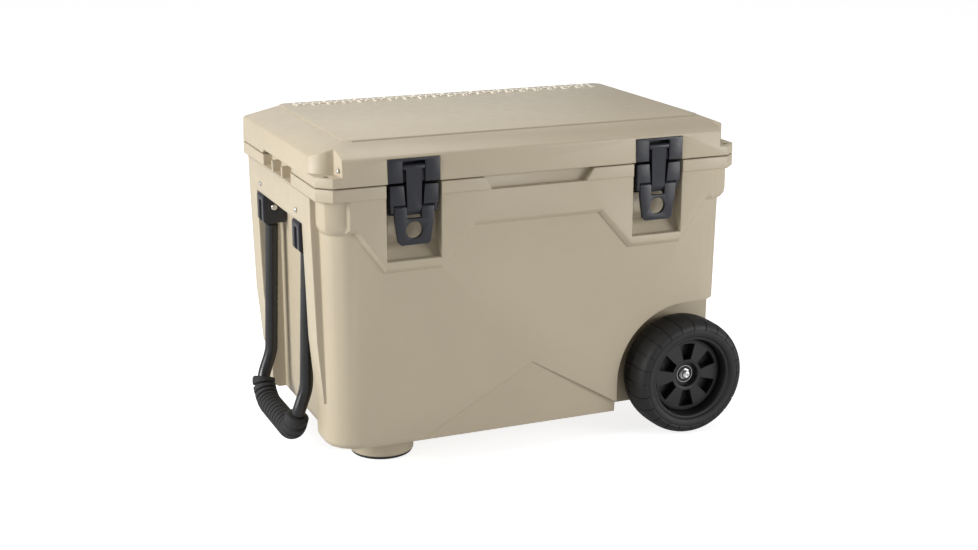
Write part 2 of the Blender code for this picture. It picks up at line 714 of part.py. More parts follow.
def make_latch(side, centre, mats):
    """Keeper on the lid; base, pull lever, draw link and two pins on the chest."""
    front = -HALF_Y - 0.0005
    back = -HALF_Y + LATCH_DEEP - GAP
    keeper_low = (centre - KEEPER_HALF, front, LID_BOTTOM + 0.0005)
    keeper = box(f"latch_keeper_{side}", keeper_low, (centre + KEEPER_HALF, -HALF_Y + 0.0215, KEEPER_TOP), mats["slate"])
    window_top = LINK_BAR_Z + LINK_BAR_R + 0.0045
    window = box(f"window_guide_{side}", (centre - WINDOW_HALF, front - 0.01, LID_BOTTOM - 0.01),
                 (centre + WINDOW_HALF, -HALF_Y + 0.013, window_top))
    shelf_top = LINK_BAR_Z - LINK_BAR_R - 0.0005
    shelf = box(f"shelf_guide_{side}", (centre - WINDOW_HALF - 0.002, -HALF_Y + 0.0042, LID_BOTTOM + 0.0005),
                (centre + WINDOW_HALF + 0.002, -HALF_Y + 0.015, shelf_top))
    cut(keeper, window)
    join(keeper, shelf)

    base_half = 0.0355
    base_low = LEVER_Z + LEVER_BOSS + 0.0006
    base = box(f"latch_base_{side}", (centre - base_half, front, base_low),
               (centre + base_half, back, SEAM - 0.0015), mats["slate"])
    channel = [(centre - 0.0125, base_low - 0.01), (centre + 0.0125, base_low - 0.01),
               (centre + 0.0170, SEAM + 0.01), (centre - 0.0170, SEAM + 0.01)]
    cut(base, prism(f"channel_guide_{side}", channel, "y", front - 0.01, -HALF_Y + 0.0150))
    ear = 0.004
    for sign in (-1, 1):
        inner = LEVER_HALF + 0.0008
        span = sorted((centre + sign * inner, centre + sign * (inner + ear)))
        arm = [(LEVER_Y - 0.0045, LEVER_Z - 0.005), (back, LEVER_Z - 0.009),
               (back, base_low + 0.006), (LEVER_Y - 0.0045, base_low + 0.006)]
        join(base, prism(f"ear_guide_{side}_{sign + 1}", arm, "x", *span))
    bridge = box(f"bridge_guide_{side}", (centre - LEVER_HALF - 0.002, -HALF_Y + 0.0205, LEVER_Z - 0.012),
                 (centre + LEVER_HALF + 0.002, back, base_low + 0.006))
    join(base, bridge)
    pin_reach = LEVER_HALF + 0.0008 + ear
    pin_bore = cylinder(f"pin_bore_guide_{side}", "x", (LEVER_Y, LEVER_Z), PIN_R + RUNNING,
                        centre - pin_reach - 0.01, centre + pin_reach + 0.01, sides=24)
    cut(base, pin_bore)
    lever_pin = cylinder(f"lever_pin_{side}", "x", (LEVER_Y, LEVER_Z), PIN_R,
                         centre - pin_reach + 0.0003, centre + pin_reach - 0.0003, mats["steel"], 24)

    lever = make_lever(side, centre, mats)
    eye_y = LEVER_Y + LINK_OFFSET_Y
    eye_z = LEVER_Z - LINK_OFFSET_Z
    link_pin = cylinder(f"link_pin_{side}", "x", (eye_y, eye_z), 0.0015, centre - 0.0180,
                        centre + 0.0180, mats["steel"], 24)
    cut(lever, pin_bore)
    cut(lever, cylinder(f"link_bore_guide_{side}", "x", (eye_y, eye_z), 0.0015 + RUNNING,
                        centre - 0.0183, centre + 0.0183, sides=24))
    link = make_link(side, centre, eye_y, eye_z, mats)
    cut(link, cylinder(f"eye_bore_guide_{side}", "x", (eye_y, eye_z), 0.0015 + RUNNING,
                       centre - 0.03, centre + 0.03, sides=24))
    return {"keeper": keeper, "fixed": [base, lever_pin], "lever": [lever, link_pin], "link": [link]}


def make_lever(side, centre, mats):
    """The pull tab: a plate under a round top edge, with a finger hole and a notch for the link."""
    front = LEVER_Y - LEVER_BOSS
    plate = [(centre - LEVER_HALF, LEVER_Z), (centre + LEVER_HALF, LEVER_Z),
             (centre + LEVER_HALF - 0.001, LEVER_Z - 0.018), (centre + LEVER_HALF - 0.0055, LEVER_FOOT_Z + 0.004),
             (centre + LEVER_HALF - 0.0095, LEVER_FOOT_Z), (centre - LEVER_HALF + 0.0095, LEVER_FOOT_Z),
             (centre - LEVER_HALF + 0.0055, LEVER_FOOT_Z + 0.004), (centre - LEVER_HALF + 0.001, LEVER_Z - 0.018)]
    lever = prism(f"latch_lever_{side}", plate, "y", front, LEVER_Y + 0.0005, mats["slate"])
    barrel = cylinder(f"barrel_guide_{side}", "x", (LEVER_Y, LEVER_Z), LEVER_BOSS,
                      centre - LEVER_HALF, centre + LEVER_HALF, sides=32)
    hub = [(LEVER_Y - 0.001, LEVER_Z), (LEVER_Y + LEVER_BOSS, LEVER_Z), (LEVER_Y + LEVER_BOSS, LEVER_Z - 0.009),
           (LEVER_Y + 0.002, LEVER_Z - 0.013), (LEVER_Y - 0.001, LEVER_Z - 0.013)]
    join(lever, barrel, prism(f"hub_guide_{side}", hub, "x", centre - LEVER_HALF + 0.002, centre + LEVER_HALF - 0.002))
    notch = box(f"lever_notch_guide_{side}", (centre - 0.0112, front - 0.01, LEVER_Z - LEVER_NOTCH),
                (centre + 0.0112, LEVER_Y + 0.02, LEVER_Z + 0.02))
    hole = cylinder(f"hole_guide_{side}", "y", (centre, LEVER_HOLE_Z), LEVER_HOLE_R, front - 0.01,
                    LEVER_Y + 0.02, sides=40)
    return cut(lever, notch, hole)


def make_link(side, centre, eye_y, eye_z, mats):
    """The draw link: a round cross bar at the top, a tapering strap, and an eye behind."""
    face = -HALF_Y
    rear = LEVER_Y - 0.0026
    bar_half = 0.0160
    bar_y = -HALF_Y + 0.0042
    strap_top = LINK_BAR_Z - 0.001
    strap_low = LEVER_Z + 0.001
    rings = []
    for z, half in ((strap_low, LINK_HALF), (strap_top, 0.0120)):
        rings.append([(centre - half, face, z), (centre + half, face, z), (centre + half, rear, z), (centre - half, rear, z)])
    link = loft(f"latch_link_{side}", rings, mats["slate"])
    bar = cylinder(f"bar_guide_{side}", "x", (bar_y, LINK_BAR_Z), LINK_BAR_R, centre - bar_half,
                   centre + bar_half, sides=32)
    tail = [(face, strap_low + 0.003), (rear, strap_low + 0.003), (rear, LEVER_Z - 0.0035),
            (eye_y - 0.0005, eye_z + 0.0024), (eye_y - 0.0012, eye_z - 0.0024), (face + 0.0022, LEVER_Z - 0.0045), (face, LEVER_Z)]
    tail_solid = prism(f"tail_guide_{side}", tail, "x", centre - LINK_HALF + 0.0002, centre + LINK_HALF - 0.0002)
    eye = cylinder(f"eye_guide_{side}", "x", (eye_y, eye_z), 0.0028, centre - LINK_HALF + 0.0004,
                   centre + LINK_HALF - 0.0004, sides=24)
    return join(link, bar, tail_solid, eye)


# ==================================================================== handle


def bail_path():
    """Centre line of the handle tube from one lug round to the other, as points."""
    def lean(z):
        top = PIVOT_Z - LUG_LONG + 0.008
        if z >= ARM_STRAIGHT_Z:
            return PIVOT_X - ARM_LEAN * (top - z) / (top - ARM_STRAIGHT_Z)
        blend = min(1.0, (ARM_STRAIGHT_Z - z) / (ARM_STRAIGHT_Z - 0.058))
        eased = blend * blend * (3 - 2 * blend)
        return PIVOT_X - ARM_LEAN - (GRIP_OUT - ARM_LEAN) * eased

    half = []
    top = PIVOT_Z - LUG_LONG + 0.003
    corner_z = GRIP_Z + BAIL_CORNER
    half.append(top)
    half += [top - 0.10, ARM_STRAIGHT_Z]
    steps = 4
    half += [ARM_STRAIGHT_Z + (corner_z - ARM_STRAIGHT_Z) * i / steps for i in range(1, steps)]
    points = [Vector((lean(z), -ARM_SPREAD, z)) for z in half]
    for i in range(8):
        turn = math.pi / 2 * i / 7
        y = -ARM_SPREAD + BAIL_CORNER * (1 - math.cos(turn))
        z = corner_z - BAIL_CORNER * math.sin(turn)
        points.append(Vector((lean(z), y, z)))
    mirrored = [Vector((p.x, -p.y, p.z)) for p in reversed(points)]
    return points + mirrored


def make_handle(mats):
    """The bail with its flattened lugs, and the foam grip round its lower part."""
    path = bail_path()
    bail = swept_tube("handle_bail", path, TUBE_R, 0.0, mats["tube"])
    for sign, name in ((-1, "front"), (1, "rear")):
        y = sign * ARM_SPREAD
        outline = [(PIVOT_X + LUG_R, PIVOT_Z), (PIVOT_X - LUG_R, PIVOT_Z),
                   (PIVOT_X - LUG_R - 0.0005, PIVOT_Z - LUG_LONG - 0.004), (PIVOT_X + LUG_R - 0.002, PIVOT_Z - LUG_LONG - 0.004)]
        span = (y - LUG_THICK / 2, y + LUG_THICK / 2)
        lug = prism(f"lug_guide_{name}", outline, "y", *span)
        eye = cylinder(f"lug_eye_guide_{name}", "y", (PIVOT_X, PIVOT_Z), LUG_R, *span, sides=32)
        join(bail, lug, eye)
        bore = cylinder(f"lug_bore_guide_{name}", "y", (PIVOT_X, PIVOT_Z), BOLT_R + RUNNING, span[0] - 0.01, span[1] + 0.01, sides=24)
        cut(bail, bore)
    grip_path = [p for p in path if p.z <= GRIP_START_Z]
    grip = swept_tube("handle_grip", grip_path, GRIP_R, TUBE_R + 2 * GAP, mats["foam_black"])
    return [bail, grip]


def make_bracket(name, y, mats):
    """A handle bracket in the bay: a block slotted for the lug, bored for the pivot bolt."""
    low_x = -HALF_X - BRACKET_PROUD
    high_x = low_x + BRACKET_DEEP
    top = RECESS_TOP - GAP
    low_z = top - BRACKET_TALL
    outline = [(low_x, low_z + 0.004), (low_x + 0.003, low_z), (high_x, low_z), (high_x, top),
               (low_x + 0.003, top), (low_x, top - 0.004)]
    half = BRACKET_WIDE / 2
    block = prism(f"handle_bracket_{name}", outline, "y", y - half, y + half, mats["slate"])
    slot_low = (low_x - 0.01, y - SLOT_WIDE / 2, low_z - 0.01)
    slot_high = (PIVOT_X + LUG_R + 0.0015, y + SLOT_WIDE / 2, PIVOT_Z + LUG_R + 0.0012)
    cut(block, box(f"slot_guide_{name}", slot_low, slot_high))
    bore = cylinder(f"bracket_bore_guide_{name}", "y", (PIVOT_X, PIVOT_Z), BOLT_R + RUNNING, y - 0.05, y + 0.05, sides=24)
    cut(block, bore)
    inward = 1
    bolt = screw(f"pivot_bolt_{name}", "y", (PIVOT_X, PIVOT_Z), y - half - GAP, inward, BOLT_HEAD_R, BOLT_R,
                 BRACKET_WIDE + 0.001, mats["steel"])
    fixing = screw(f"bracket_screw_{name}", "x", (y, RECESS_TOP + 0.0145), -HALF_X - GAP, 1, SCREW_HEAD_R, 0.0025, 0.018, mats["steel"])
    return [block, bolt, fixing]


def bracket_screw_hole(name, y):
    """The hole above the bay that a bracket screw goes into."""
    return cylinder(f"fixing_guide_{name}", "x", (y, RECESS_TOP + 0.0145), 0.0025 + GAP, -HALF_X - 0.02, -HALF_X + 0.0195, sides=16)


# ==================================================================== wheels, feet, drain


def make_wheel(name, sign, mats):
    """Tyre, windowed rim, bearing, washer and axle nut on one side; sign is -1 at the front."""
    out = HALF_Y + WHEEL_PROUD
    inner = out - TYRE_WIDE

    def along(distance):
        return sign * distance

    centre = (WHEEL_X, WHEEL_Z)
    bead = RIM_R + GAP
    profile = [(bead, along(inner + 0.004)), (WHEEL_R - 0.014, along(inner + 0.001)),
               (WHEEL_R - 0.004, along(inner + 0.005)), (WHEEL_R, along(inner + 0.016)),
               (WHEEL_R, along(out - 0.018)), (WHEEL_R - 0.0015, along(out - 0.008)),
               (WHEEL_R - 0.005, along(out - 0.002)), (WHEEL_R - 0.014, along(out)),
               (bead + 0.006, along(out - 0.003)), (bead, along(out - 0.009))]
    tyre = turned(f"tyre_{name}", "y", centre, profile, mats["tyre"], 40)

    face = out - RIM_SUNK
    web = face - RIM_THICK
    hub = face - HUB_SUNK
    rim_profile = [(BEARING_R + GAP, along(inner + 0.008)), (0.020, along(inner + 0.008)), (0.022, along(web)),
                   (RIM_R - 0.006, along(web)), (RIM_R - 0.004, along(inner + 0.005)), (RIM_R, along(inner + 0.005)),
                   (RIM_R, along(face + 0.004)), (RIM_R - 0.003, along(face + 0.004)), (RIM_R - 0.004, along(face)),
                   (HUB_R, along(face)), (HUB_R - 0.001, along(hub)), (BEARING_R + GAP, along(hub))]
    rim = turned(f"wheel_rim_{name}", "y", centre, rim_profile, mats["rim"], 36)
    for i in range(WINDOWS):
        middle = math.radians(30 + 360 / WINDOWS * i)
        points = []
        for radius, half in ((WINDOW_IN, 15.5), (WINDOW_OUT, 13.0)):
            for turn in (-half, 0.0, half) if radius == WINDOW_IN else (half, half / 3, -half / 3, -half):
                angle = middle + math.radians(turn)
                points.append((WHEEL_X + radius * math.cos(angle), WHEEL_Z + radius * math.sin(angle)))
        span = sorted((along(web + RIM_WEB), along(out + 0.02)))
        cut(rim, prism(f"window_cut_{name}_{i}", points, "y", *span))

    bush = [(AXLE_R + RUNNING, along(inner + 0.007)), (BEARING_R, along(inner + 0.007)),
            (BEARING_R, along(hub)), (AXLE_R + RUNNING, along(hub))]
    bearing = turned(f"bearing_{name}", "y", centre, bush, mats["steel"], 48)
    nut_from = hub + 2 * GAP
    washer = turned(f"axle_washer_{name}", "y", centre,
                    [(AXLE_R + GAP, along(nut_from)), (0.0078, along(nut_from)),
                     (0.0078, along(nut_from + 0.0015)), (AXLE_R + GAP, along(nut_from + 0.0015))], mats["steel"], 32)
    nut_low = nut_from + 0.0015 + GAP
    nut = spindle(f"axle_nut_{name}", "y", centre,
                  [(0.0070, along(nut_low)), (0.0070, along(nut_low + 0.0040)), (0.0045, along(nut_low + 0.0055))],
                  mats["steel"], 24)
    bore = cylinder(f"nut_bore_guide_{name}", "y", centre, AXLE_R + GAP,
                    *sorted((along(nut_low - 0.01), along(nut_low + 0.004))), sides=48)
    cut(nut, bore)
    spacer = turned(f"wheel_spacer_{name}", "y", centre,
                    [(AXLE_R + GAP, along(HALF_Y - WELL_DEEP + GAP)), (0.011, along(HALF_Y - WELL_DEEP + GAP)),
                     (0.011, along(inner + 0.007 - GAP)), (AXLE_R + GAP, along(inner + 0.007 - GAP))], mats["slate"], 32)
    return {"spin": [tyre, rim, bearing], "fixed": [washer, nut, spacer]}


def make_axle(mats):
    """The steel rod that carries both wheels through the chest."""
    hub = HALF_Y + WHEEL_PROUD - RIM_SUNK - HUB_SUNK
    reach = hub + 2 * GAP + 0.0015 + GAP + 0.003
    return cylinder("axle", "y", (WHEEL_X, WHEEL_Z), AXLE_R, -reach, reach, mats["steel"], 48)


def make_feet(mats):
    """A rubber pad under each of the two bosses at the handle end."""
    feet = []
    for sign, name in ((-1, "front"), (1, "rear")):
        centre = (-FOOT_X, sign * FOOT_Y)
        rings = []
        for z, radius in ((0.0, FOOT_R - 0.004), (0.002, FOOT_R - 0.002), (PAD_THICK, FOOT_R - 0.001)):
            rings.append(at_height(circle(radius, centre, 40), z))
        feet.append(loft(f"foot_pad_{name}", rings, mats["rubber"]))
    return feet


def drain_hole(name, radius):
    """The bore through the rear wall."""
    return cylinder(name, "y", (DRAIN_X, DRAIN_Z), radius, 0.0, HALF_Y + 0.05, sides=32)


def drain_seat():
    """A flat round seat for the spout's flange in the sloping rear face."""
    seat_y = HALF_Y - SIDE_INSET - DRAFT - 0.003
    return cylinder("drain_seat_guide", "y", (DRAIN_X, DRAIN_Z), DRAIN_FLANGE + 0.002, seat_y, HALF_Y + 0.05, sides=40)


def make_drain(mats):
    """The spout through the wall and the bung that closes it."""
    seat_y = HALF_Y - SIDE_INSET - DRAFT - 0.003
    inner_y = POCKET_HIGH.y - FOAM - GAP - LINER + 0.001
    centre = (DRAIN_X, DRAIN_Z)
    spout = turned("drain_spout", "y", centre,
                   [(DRAIN_BORE, inner_y), (DRAIN_R, inner_y), (DRAIN_R, seat_y + GAP), (DRAIN_FLANGE, seat_y + GAP),
                    (DRAIN_FLANGE, seat_y + 0.004), (0.015, seat_y + 0.006), (0.015, seat_y + 0.010), (DRAIN_BORE, seat_y + 0.010)],
                   mats["slate"], 24)
    cap_y = seat_y + 0.010 + GAP
    slack = DRAIN_BORE - GAP
    bung = spindle("bung_guide", "y", centre, [(slack - 0.001, inner_y + 0.004), (slack, inner_y + 0.010),
                   (slack, cap_y), (0.0145, cap_y), (0.0145, cap_y + 0.004)], None, 24)
    grip = box("drain_bung", (DRAIN_X - 0.0105, cap_y + 0.001, DRAIN_Z - 0.0025),
               (DRAIN_X + 0.0105, cap_y + 0.013, DRAIN_Z + 0.0025), mats["rubber"])
    join(grip, bung)
    return spout, grip


# ==================================================================== assembly


def ride_on(axis_name, location, pieces):
    """Parents the pieces to an empty on their joint's axis, without moving them."""
    empty = bpy.data.objects.new(axis_name, None)
    empty.empty_display_size = 0.03
    empty.location = location
    bpy.context.scene.collection.objects.link(empty)
    for piece in pieces:
        piece.parent = empty
        piece.matrix_parent_inverse = Matrix.Translation(-Vector(location))
    return empty


def make_materials():
    """Every finish of the object."""
    return {
        "tan": make_material("tan_polyethylene", (0.60, 0.53, 0.40), 0.48),
        "foam": make_material("insulating_foam", (0.85, 0.80, 0.62), 0.90),
        "liner": make_material("liner_polyethylene", (0.62, 0.55, 0.42), 0.40),
        "slate": make_material("slate_plastic", (0.035, 0.036, 0.042), 0.45),
        "rubber": make_material("black_rubber", (0.020, 0.020, 0.020), 0.70),
        "tube": make_material("black_tube", (0.018, 0.018, 0.020), 0.35, 0.4),
        "foam_black": make_material("black_foam", (0.022, 0.022, 0.023), 0.85),
        "tyre": make_material("tyre_rubber", (0.022, 0.022, 0.023), 0.65),
        "rim": make_material("rim_plastic", (0.020, 0.020, 0.022), 0.50),
        "steel": make_material("stainless_steel", (0.70, 0.70, 0.70), 0.25, 1.0),
    }


def main():
    """Builds every piece and hangs the moving ones on their axes."""
    clear_scene()
    mats = make_materials()
    make_chest(mats)
    make_insulation(mats)
    make_hinge(mats)
    make_axle(mats)
    make_feet(mats)
    lid_pieces = make_lid(mats) + make_lid_screws(mats)
    for side, centre in (("left", -LATCH_X), ("right", LATCH_X)):
        latch = make_latch(side, centre, mats)
        lid_pieces.append(latch["keeper"])
        lever_axis = ride_on(f"axis_lever_{side}", (centre, LEVER_Y, LEVER_Z), latch["lever"])
        link_at = (centre, LEVER_Y + LINK_OFFSET_Y, LEVER_Z - LINK_OFFSET_Z)
        link_axis = ride_on(f"axis_link_{side}", link_at, latch["link"])
        link_axis.parent = lever_axis
        link_axis.matrix_parent_inverse = Matrix.Translation(-Vector((centre, LEVER_Y, LEVER_Z)))
    ride_on("axis_lid", (0.0, HINGE_Y, HINGE_Z), lid_pieces)
    ride_on("axis_handle", (PIVOT_X, 0.0, PIVOT_Z), make_handle(mats))
    for sign, name in ((-1, "front"), (1, "rear")):
        make_bracket(name, sign * ARM_SPREAD, mats)
        wheel = make_wheel(name, sign, mats)
        ride_on(f"axis_wheel_{name}", (WHEEL_X, sign * HALF_Y, WHEEL_Z), wheel["spin"])
    _, bung = make_drain(mats)
    ride_on("axis_drain", (DRAIN_X, HALF_Y, DRAIN_Z), [bung])
    for obj in bpy.data.objects:
        if obj.parent is None:
            obj.location += CENTRING


main()
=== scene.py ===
"""Wheeled hard cooler: detailed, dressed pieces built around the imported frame."""

from __future__ import annotations

import logging
import math
from dataclasses import dataclass
from enum import Enum
from typing import Callable, Iterable, Sequence

import bpy
from bpy.types import Material, Object
from mathutils import Matrix, Vector


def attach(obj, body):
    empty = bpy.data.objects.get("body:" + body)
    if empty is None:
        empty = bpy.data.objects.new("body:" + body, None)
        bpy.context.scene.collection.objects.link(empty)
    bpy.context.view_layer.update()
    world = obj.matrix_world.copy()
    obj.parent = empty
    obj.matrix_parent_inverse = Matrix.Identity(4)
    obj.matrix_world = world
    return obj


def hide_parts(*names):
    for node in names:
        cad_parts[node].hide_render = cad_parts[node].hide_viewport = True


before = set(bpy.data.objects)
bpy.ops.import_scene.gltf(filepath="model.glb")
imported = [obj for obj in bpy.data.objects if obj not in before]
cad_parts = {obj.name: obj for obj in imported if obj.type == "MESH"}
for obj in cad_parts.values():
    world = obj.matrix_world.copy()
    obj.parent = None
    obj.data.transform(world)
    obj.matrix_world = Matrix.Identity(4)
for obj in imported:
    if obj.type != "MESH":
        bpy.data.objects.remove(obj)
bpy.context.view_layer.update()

LOG = logging.getLogger("cooler")

Point = tuple[float, float, float]
Profile = Sequence[tuple[float, float]]
Test = Callable[[Vector, Vector], bool]

MERGE = 2e-5
SPUN_MERGE = 1e-6
FLAT_ANGLE = 0.6
UPWARD = 0.9


class Axis(Enum):
    """The axis that a piece turns about or runs along."""

    X = 0
    Y = 1
    Z = 2

    def turned(self) -> tuple[float, float, float]:
        """Euler turn that lays a primitive's Z along this axis."""
        return {
            Axis.X: (0.0, math.pi / 2, 0.0),
            Axis.Y: (math.pi / 2, 0.0, 0.0),
            Axis.Z: (0.0, 0.0, 0.0),
        }[self]


class Slot(Enum):
    """Material slot names, carried with some pieces but not applied to them."""

    TAN = "tan_moulding"
    FOAM = "insulation"
    LINER = "liner"
    SLATE = "slate_plastic"
    RUBBER = "rubber"
    TUBE = "black_tube"
    GRIP = "grip_foam"
    TYRE = "tyre"
    RIM = "rim_plastic"
    STEEL = "steel"


# ---------------------------------------------------------------- workbench


def deselect() -> None:
    """Leaves nothing selected and the mode on objects."""
    if bpy.context.object and bpy.context.object.mode != "OBJECT":
        bpy.ops.object.mode_set(mode="OBJECT")
    bpy.ops.object.select_all(action="DESELECT")


def take(obj: Object) -> Object:
    """Makes one object the only selected and active one."""
    deselect()
    obj.hide_set(False)
    obj.select_set(True)
    bpy.context.view_layer.objects.active = obj
    return obj


def settle(obj: Object) -> Object:
    """Puts the object's place, turn and scale into its mesh."""
    take(obj)
    bpy.ops.object.transform_apply(location=True, rotation=True, scale=True)
    return obj


def edit(obj: Object, kind: str = "FACE") -> None:
    """Opens a piece in edit mode with nothing picked."""
    take(obj)
    bpy.ops.object.mode_set(mode="EDIT")
    bpy.ops.mesh.select_mode(type=kind)
    bpy.ops.mesh.select_all(action="DESELECT")


def pick_faces(obj: Object, test: Test) -> int:
    """Picks the faces whose centre and normal pass a test, for the next edit operator.

    Args:
        obj: The piece, in object or edit mode.
        test: Takes a face's centre and normal.

    Returns:
        How many faces were picked.
    """
    edit(obj, "FACE")
    bpy.ops.object.mode_set(mode="OBJECT")
    count = 0
    for face in obj.data.polygons:
        face.select = test(face.center, face.normal)
        count += face.select
    bpy.ops.object.mode_set(mode="EDIT")
    return count


def pick_edges(obj: Object, test: Test) -> int:
    """Picks the edges whose two ends pass a test.

    Args:
        obj: The piece, in object or edit mode.
        test: Takes the edge's two end points.

    Returns:
        How many edges were picked.
    """
    edit(obj, "EDGE")
    bpy.ops.object.mode_set(mode="OBJECT")
    points = [vertex.co for vertex in obj.data.vertices]
    count = 0
    for edge in obj.data.edges:
        edge.select = test(points[edge.vertices[0]], points[edge.vertices[1]])
        count += edge.select
    bpy.ops.object.mode_set(mode="EDIT")
    return count


def close_edit() -> None:
    """Returns to object mode."""
    bpy.ops.object.mode_set(mode="OBJECT")


def copy_of_node(node: str, name: str, ring: Test | None = None) -> Object:
    """A frame node's mesh as a new piece, merged and with its flat faces made whole.

    Args:
        node: The frame node.
        name: The new piece's name.
        ring: Picks faces that lie round an opening, which are left as they are.

    Returns:
        The new piece.
    """
    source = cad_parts[node]
    obj = bpy.data.objects.new(name, source.data.copy())
    bpy.context.scene.collection.objects.link(obj)
    obj.data.materials.clear()
    edit(obj, "VERT")
    bpy.ops.mesh.select_all(action="SELECT")
    bpy.ops.mesh.remove_doubles(threshold=MERGE)
    bpy.ops.mesh.customdata_custom_splitnormals_clear()
    if ring:
        pick_faces(obj, lambda centre, normal: not ring(centre, normal))
    bpy.ops.mesh.dissolve_limited(angle_limit=math.radians(FLAT_ANGLE), delimit=set())
    close_edit()
    return obj


def modify(obj: Object, kind: str, **settings: object) -> Object:
    """Adds a modifier, sets it and applies it.

    Args:
        obj: The piece.
        kind: Modifier type.
        **settings: The modifier's own values.

    Returns:
        The piece.
    """
    take(obj)
    modifier = obj.modifiers.new(kind.lower(), kind)
    for key, value in settings.items():
        setattr(modifier, key, value)
    bpy.ops.object.modifier_apply(modifier=modifier.name)
    return obj


def combine(obj: Object, others: Iterable[Object], operation: str) -> Object:
    """Cuts or joins other closed pieces and removes them.

    Args:
        obj: The piece that stays.
        others: Tools that are used up.
        operation: DIFFERENCE, UNION or INTERSECT.

    Returns:
        The piece that stays.
    """
    for other in others:
        modify(obj, "BOOLEAN", operation=operation, solver="EXACT", object=other)
        bpy.data.objects.remove(other, do_unlink=True)
    return obj


def round_edges(obj: Object, width: float, segments: int = 3, angle: float = 30.0) -> Object:
    """Rounds every edge sharper than an angle."""
    modify(
        obj,
        "BEVEL",
        width=width,
        segments=segments,
        limit_method="ANGLE",
        angle_limit=math.radians(angle),
        use_clamp_overlap=True,
        miter_outer="MITER_ARC",
        harden_normals=False,
    )
    return obj


def smooth(obj: Object, angle: float = 40.0) -> Object:
    """Shades smooth, with creases past an angle."""
    take(obj)
    bpy.ops.object.shade_smooth_by_angle(angle=math.radians(angle))
    return obj


def prism(name: str, outline: Profile, axis: Axis, low: float, high: float) -> Object:
    """A filled polygon shaped to an outline and extruded.

    Args:
        name: The piece's name.
        outline: Points on the two other axes, in order.
        axis: The axis it is extruded along.
        low: Where it starts.
        high: Where it ends.

    Returns:
        The closed piece.
    """
    deselect()
    bpy.ops.mesh.primitive_circle_add(vertices=len(outline), radius=1.0, fill_type="NGON")
    obj = bpy.context.object
    obj.name = name
    others = [i for i in range(3) if i != axis.value]
    for vertex, (first, second) in zip(obj.data.vertices, outline):
        place = [0.0, 0.0, 0.0]
        place[others[0]], place[others[1]], place[axis.value] = first, second, low
        vertex.co = place
    edit(obj, "FACE")
    bpy.ops.mesh.select_all(action="SELECT")
    step = [0.0, 0.0, 0.0]
    step[axis.value] = high - low
    bpy.ops.mesh.extrude_region_move(TRANSFORM_OT_translate={"value": step})
    bpy.ops.mesh.select_all(action="SELECT")
    bpy.ops.mesh.normals_make_consistent(inside=False)
    close_edit()
    return obj


def block(name: str, low: Point, high: Point) -> Object:
    """A cube at its size and place."""
    deselect()
    centre = [(a + b) / 2 for a, b in zip(low, high)]
    bpy.ops.mesh.primitive_cube_add(size=1.0, location=centre)
    obj = bpy.context.object
    obj.name = name
    obj.scale = [b - a for a, b in zip(low, high)]
    return settle(obj)


def rod(name: str, axis: Axis, centre: Point, radius: float, length: float, sides: int = 48) -> Object:
    """A cylinder about its centre, along an axis."""
    deselect()
    bpy.ops.mesh.primitive_cylinder_add(
        vertices=sides, radius=radius, depth=length, location=centre, rotation=axis.turned()
    )
    obj = bpy.context.object
    obj.name = name
    return settle(obj)


def spun(name: str, axis: Axis, centre: Point, profile: Profile, sides: int = 96) -> Object:
    """A closed profile of (radius, along) points spun about an axis.

    Args:
        name: The piece's name.
        axis: The axis it is spun about.
        centre: A point on that axis.
        profile: Closed loop of (radius, distance along the axis from the centre).
        sides: Steps of the spin.

    Returns:
        The closed piece, its place in its mesh.
    """
    deselect()
    bpy.ops.mesh.primitive_circle_add(vertices=len(profile), radius=1.0, fill_type="NOTHING")
    obj = bpy.context.object
    obj.name = name
    for vertex, (radius, along) in zip(obj.data.vertices, profile):
        vertex.co = (radius, 0.0, along)
    edit(obj, "VERT")
    bpy.ops.mesh.select_all(action="SELECT")
    bpy.ops.mesh.spin(steps=sides, angle=2 * math.pi, center=(0, 0, 0), axis=(0, 0, 1))
    bpy.ops.mesh.select_all(action="SELECT")
    bpy.ops.mesh.remove_doubles(threshold=SPUN_MERGE)
    bpy.ops.mesh.normals_make_consistent(inside=False)
    close_edit()
    obj.rotation_euler = axis.turned()
    obj.location = centre
    return settle(obj)


def tube(name: str, points: Sequence[Vector], radii: Sequence[float], fineness: int = 12) -> Object:
    """A round tube along points, with filled ends and its own radius at each point.

    Args:
        name: The piece's name.
        points: The centre line.
        radii: The radius at each point.
        fineness: Roundness of the section.

    Returns:
        The closed piece.
    """
    deselect()
    data = bpy.data.curves.new(name, "CURVE")
    data.dimensions = "3D"
    data.bevel_depth = 1.0
    data.bevel_resolution = fineness
    data.use_fill_caps = True
    spline = data.splines.new("POLY")
    spline.points.add(len(points) - 1)
    for knot, place, radius in zip(spline.points, points, radii):
        knot.co = (*place, 1.0)
        knot.radius = radius
    obj = bpy.data.objects.new(name, data)
    bpy.context.scene.collection.objects.link(obj)
    take(obj)
    bpy.ops.object.convert(target="MESH")
    obj = bpy.context.object
    edit(obj, "VERT")
    bpy.ops.mesh.select_all(action="SELECT")
    bpy.ops.mesh.remove_doubles(threshold=SPUN_MERGE)
    bpy.ops.mesh.normals_make_consistent(inside=False)
    close_edit()
    return obj


def copies(obj: Object, places: Iterable[Matrix]) -> list[Object]:
    """Copies of a piece, each with its own mesh, moved by a matrix."""
    made = []
    for number, place in enumerate(places):
        twin = bpy.data.objects.new(f"{obj.name}_{number}", obj.data.copy())
        twin.data.transform(place)
        bpy.context.scene.collection.objects.link(twin)
        made.append(twin)
    return made


def gather(target: Object, others: Sequence[Object]) -> Object:
    """Joins several pieces into the target's mesh, as separate shells."""
    take(target)
    for other in others:
        other.select_set(True)
    bpy.ops.object.join()
    return target


# ---------------------------------------------------------------- finishes


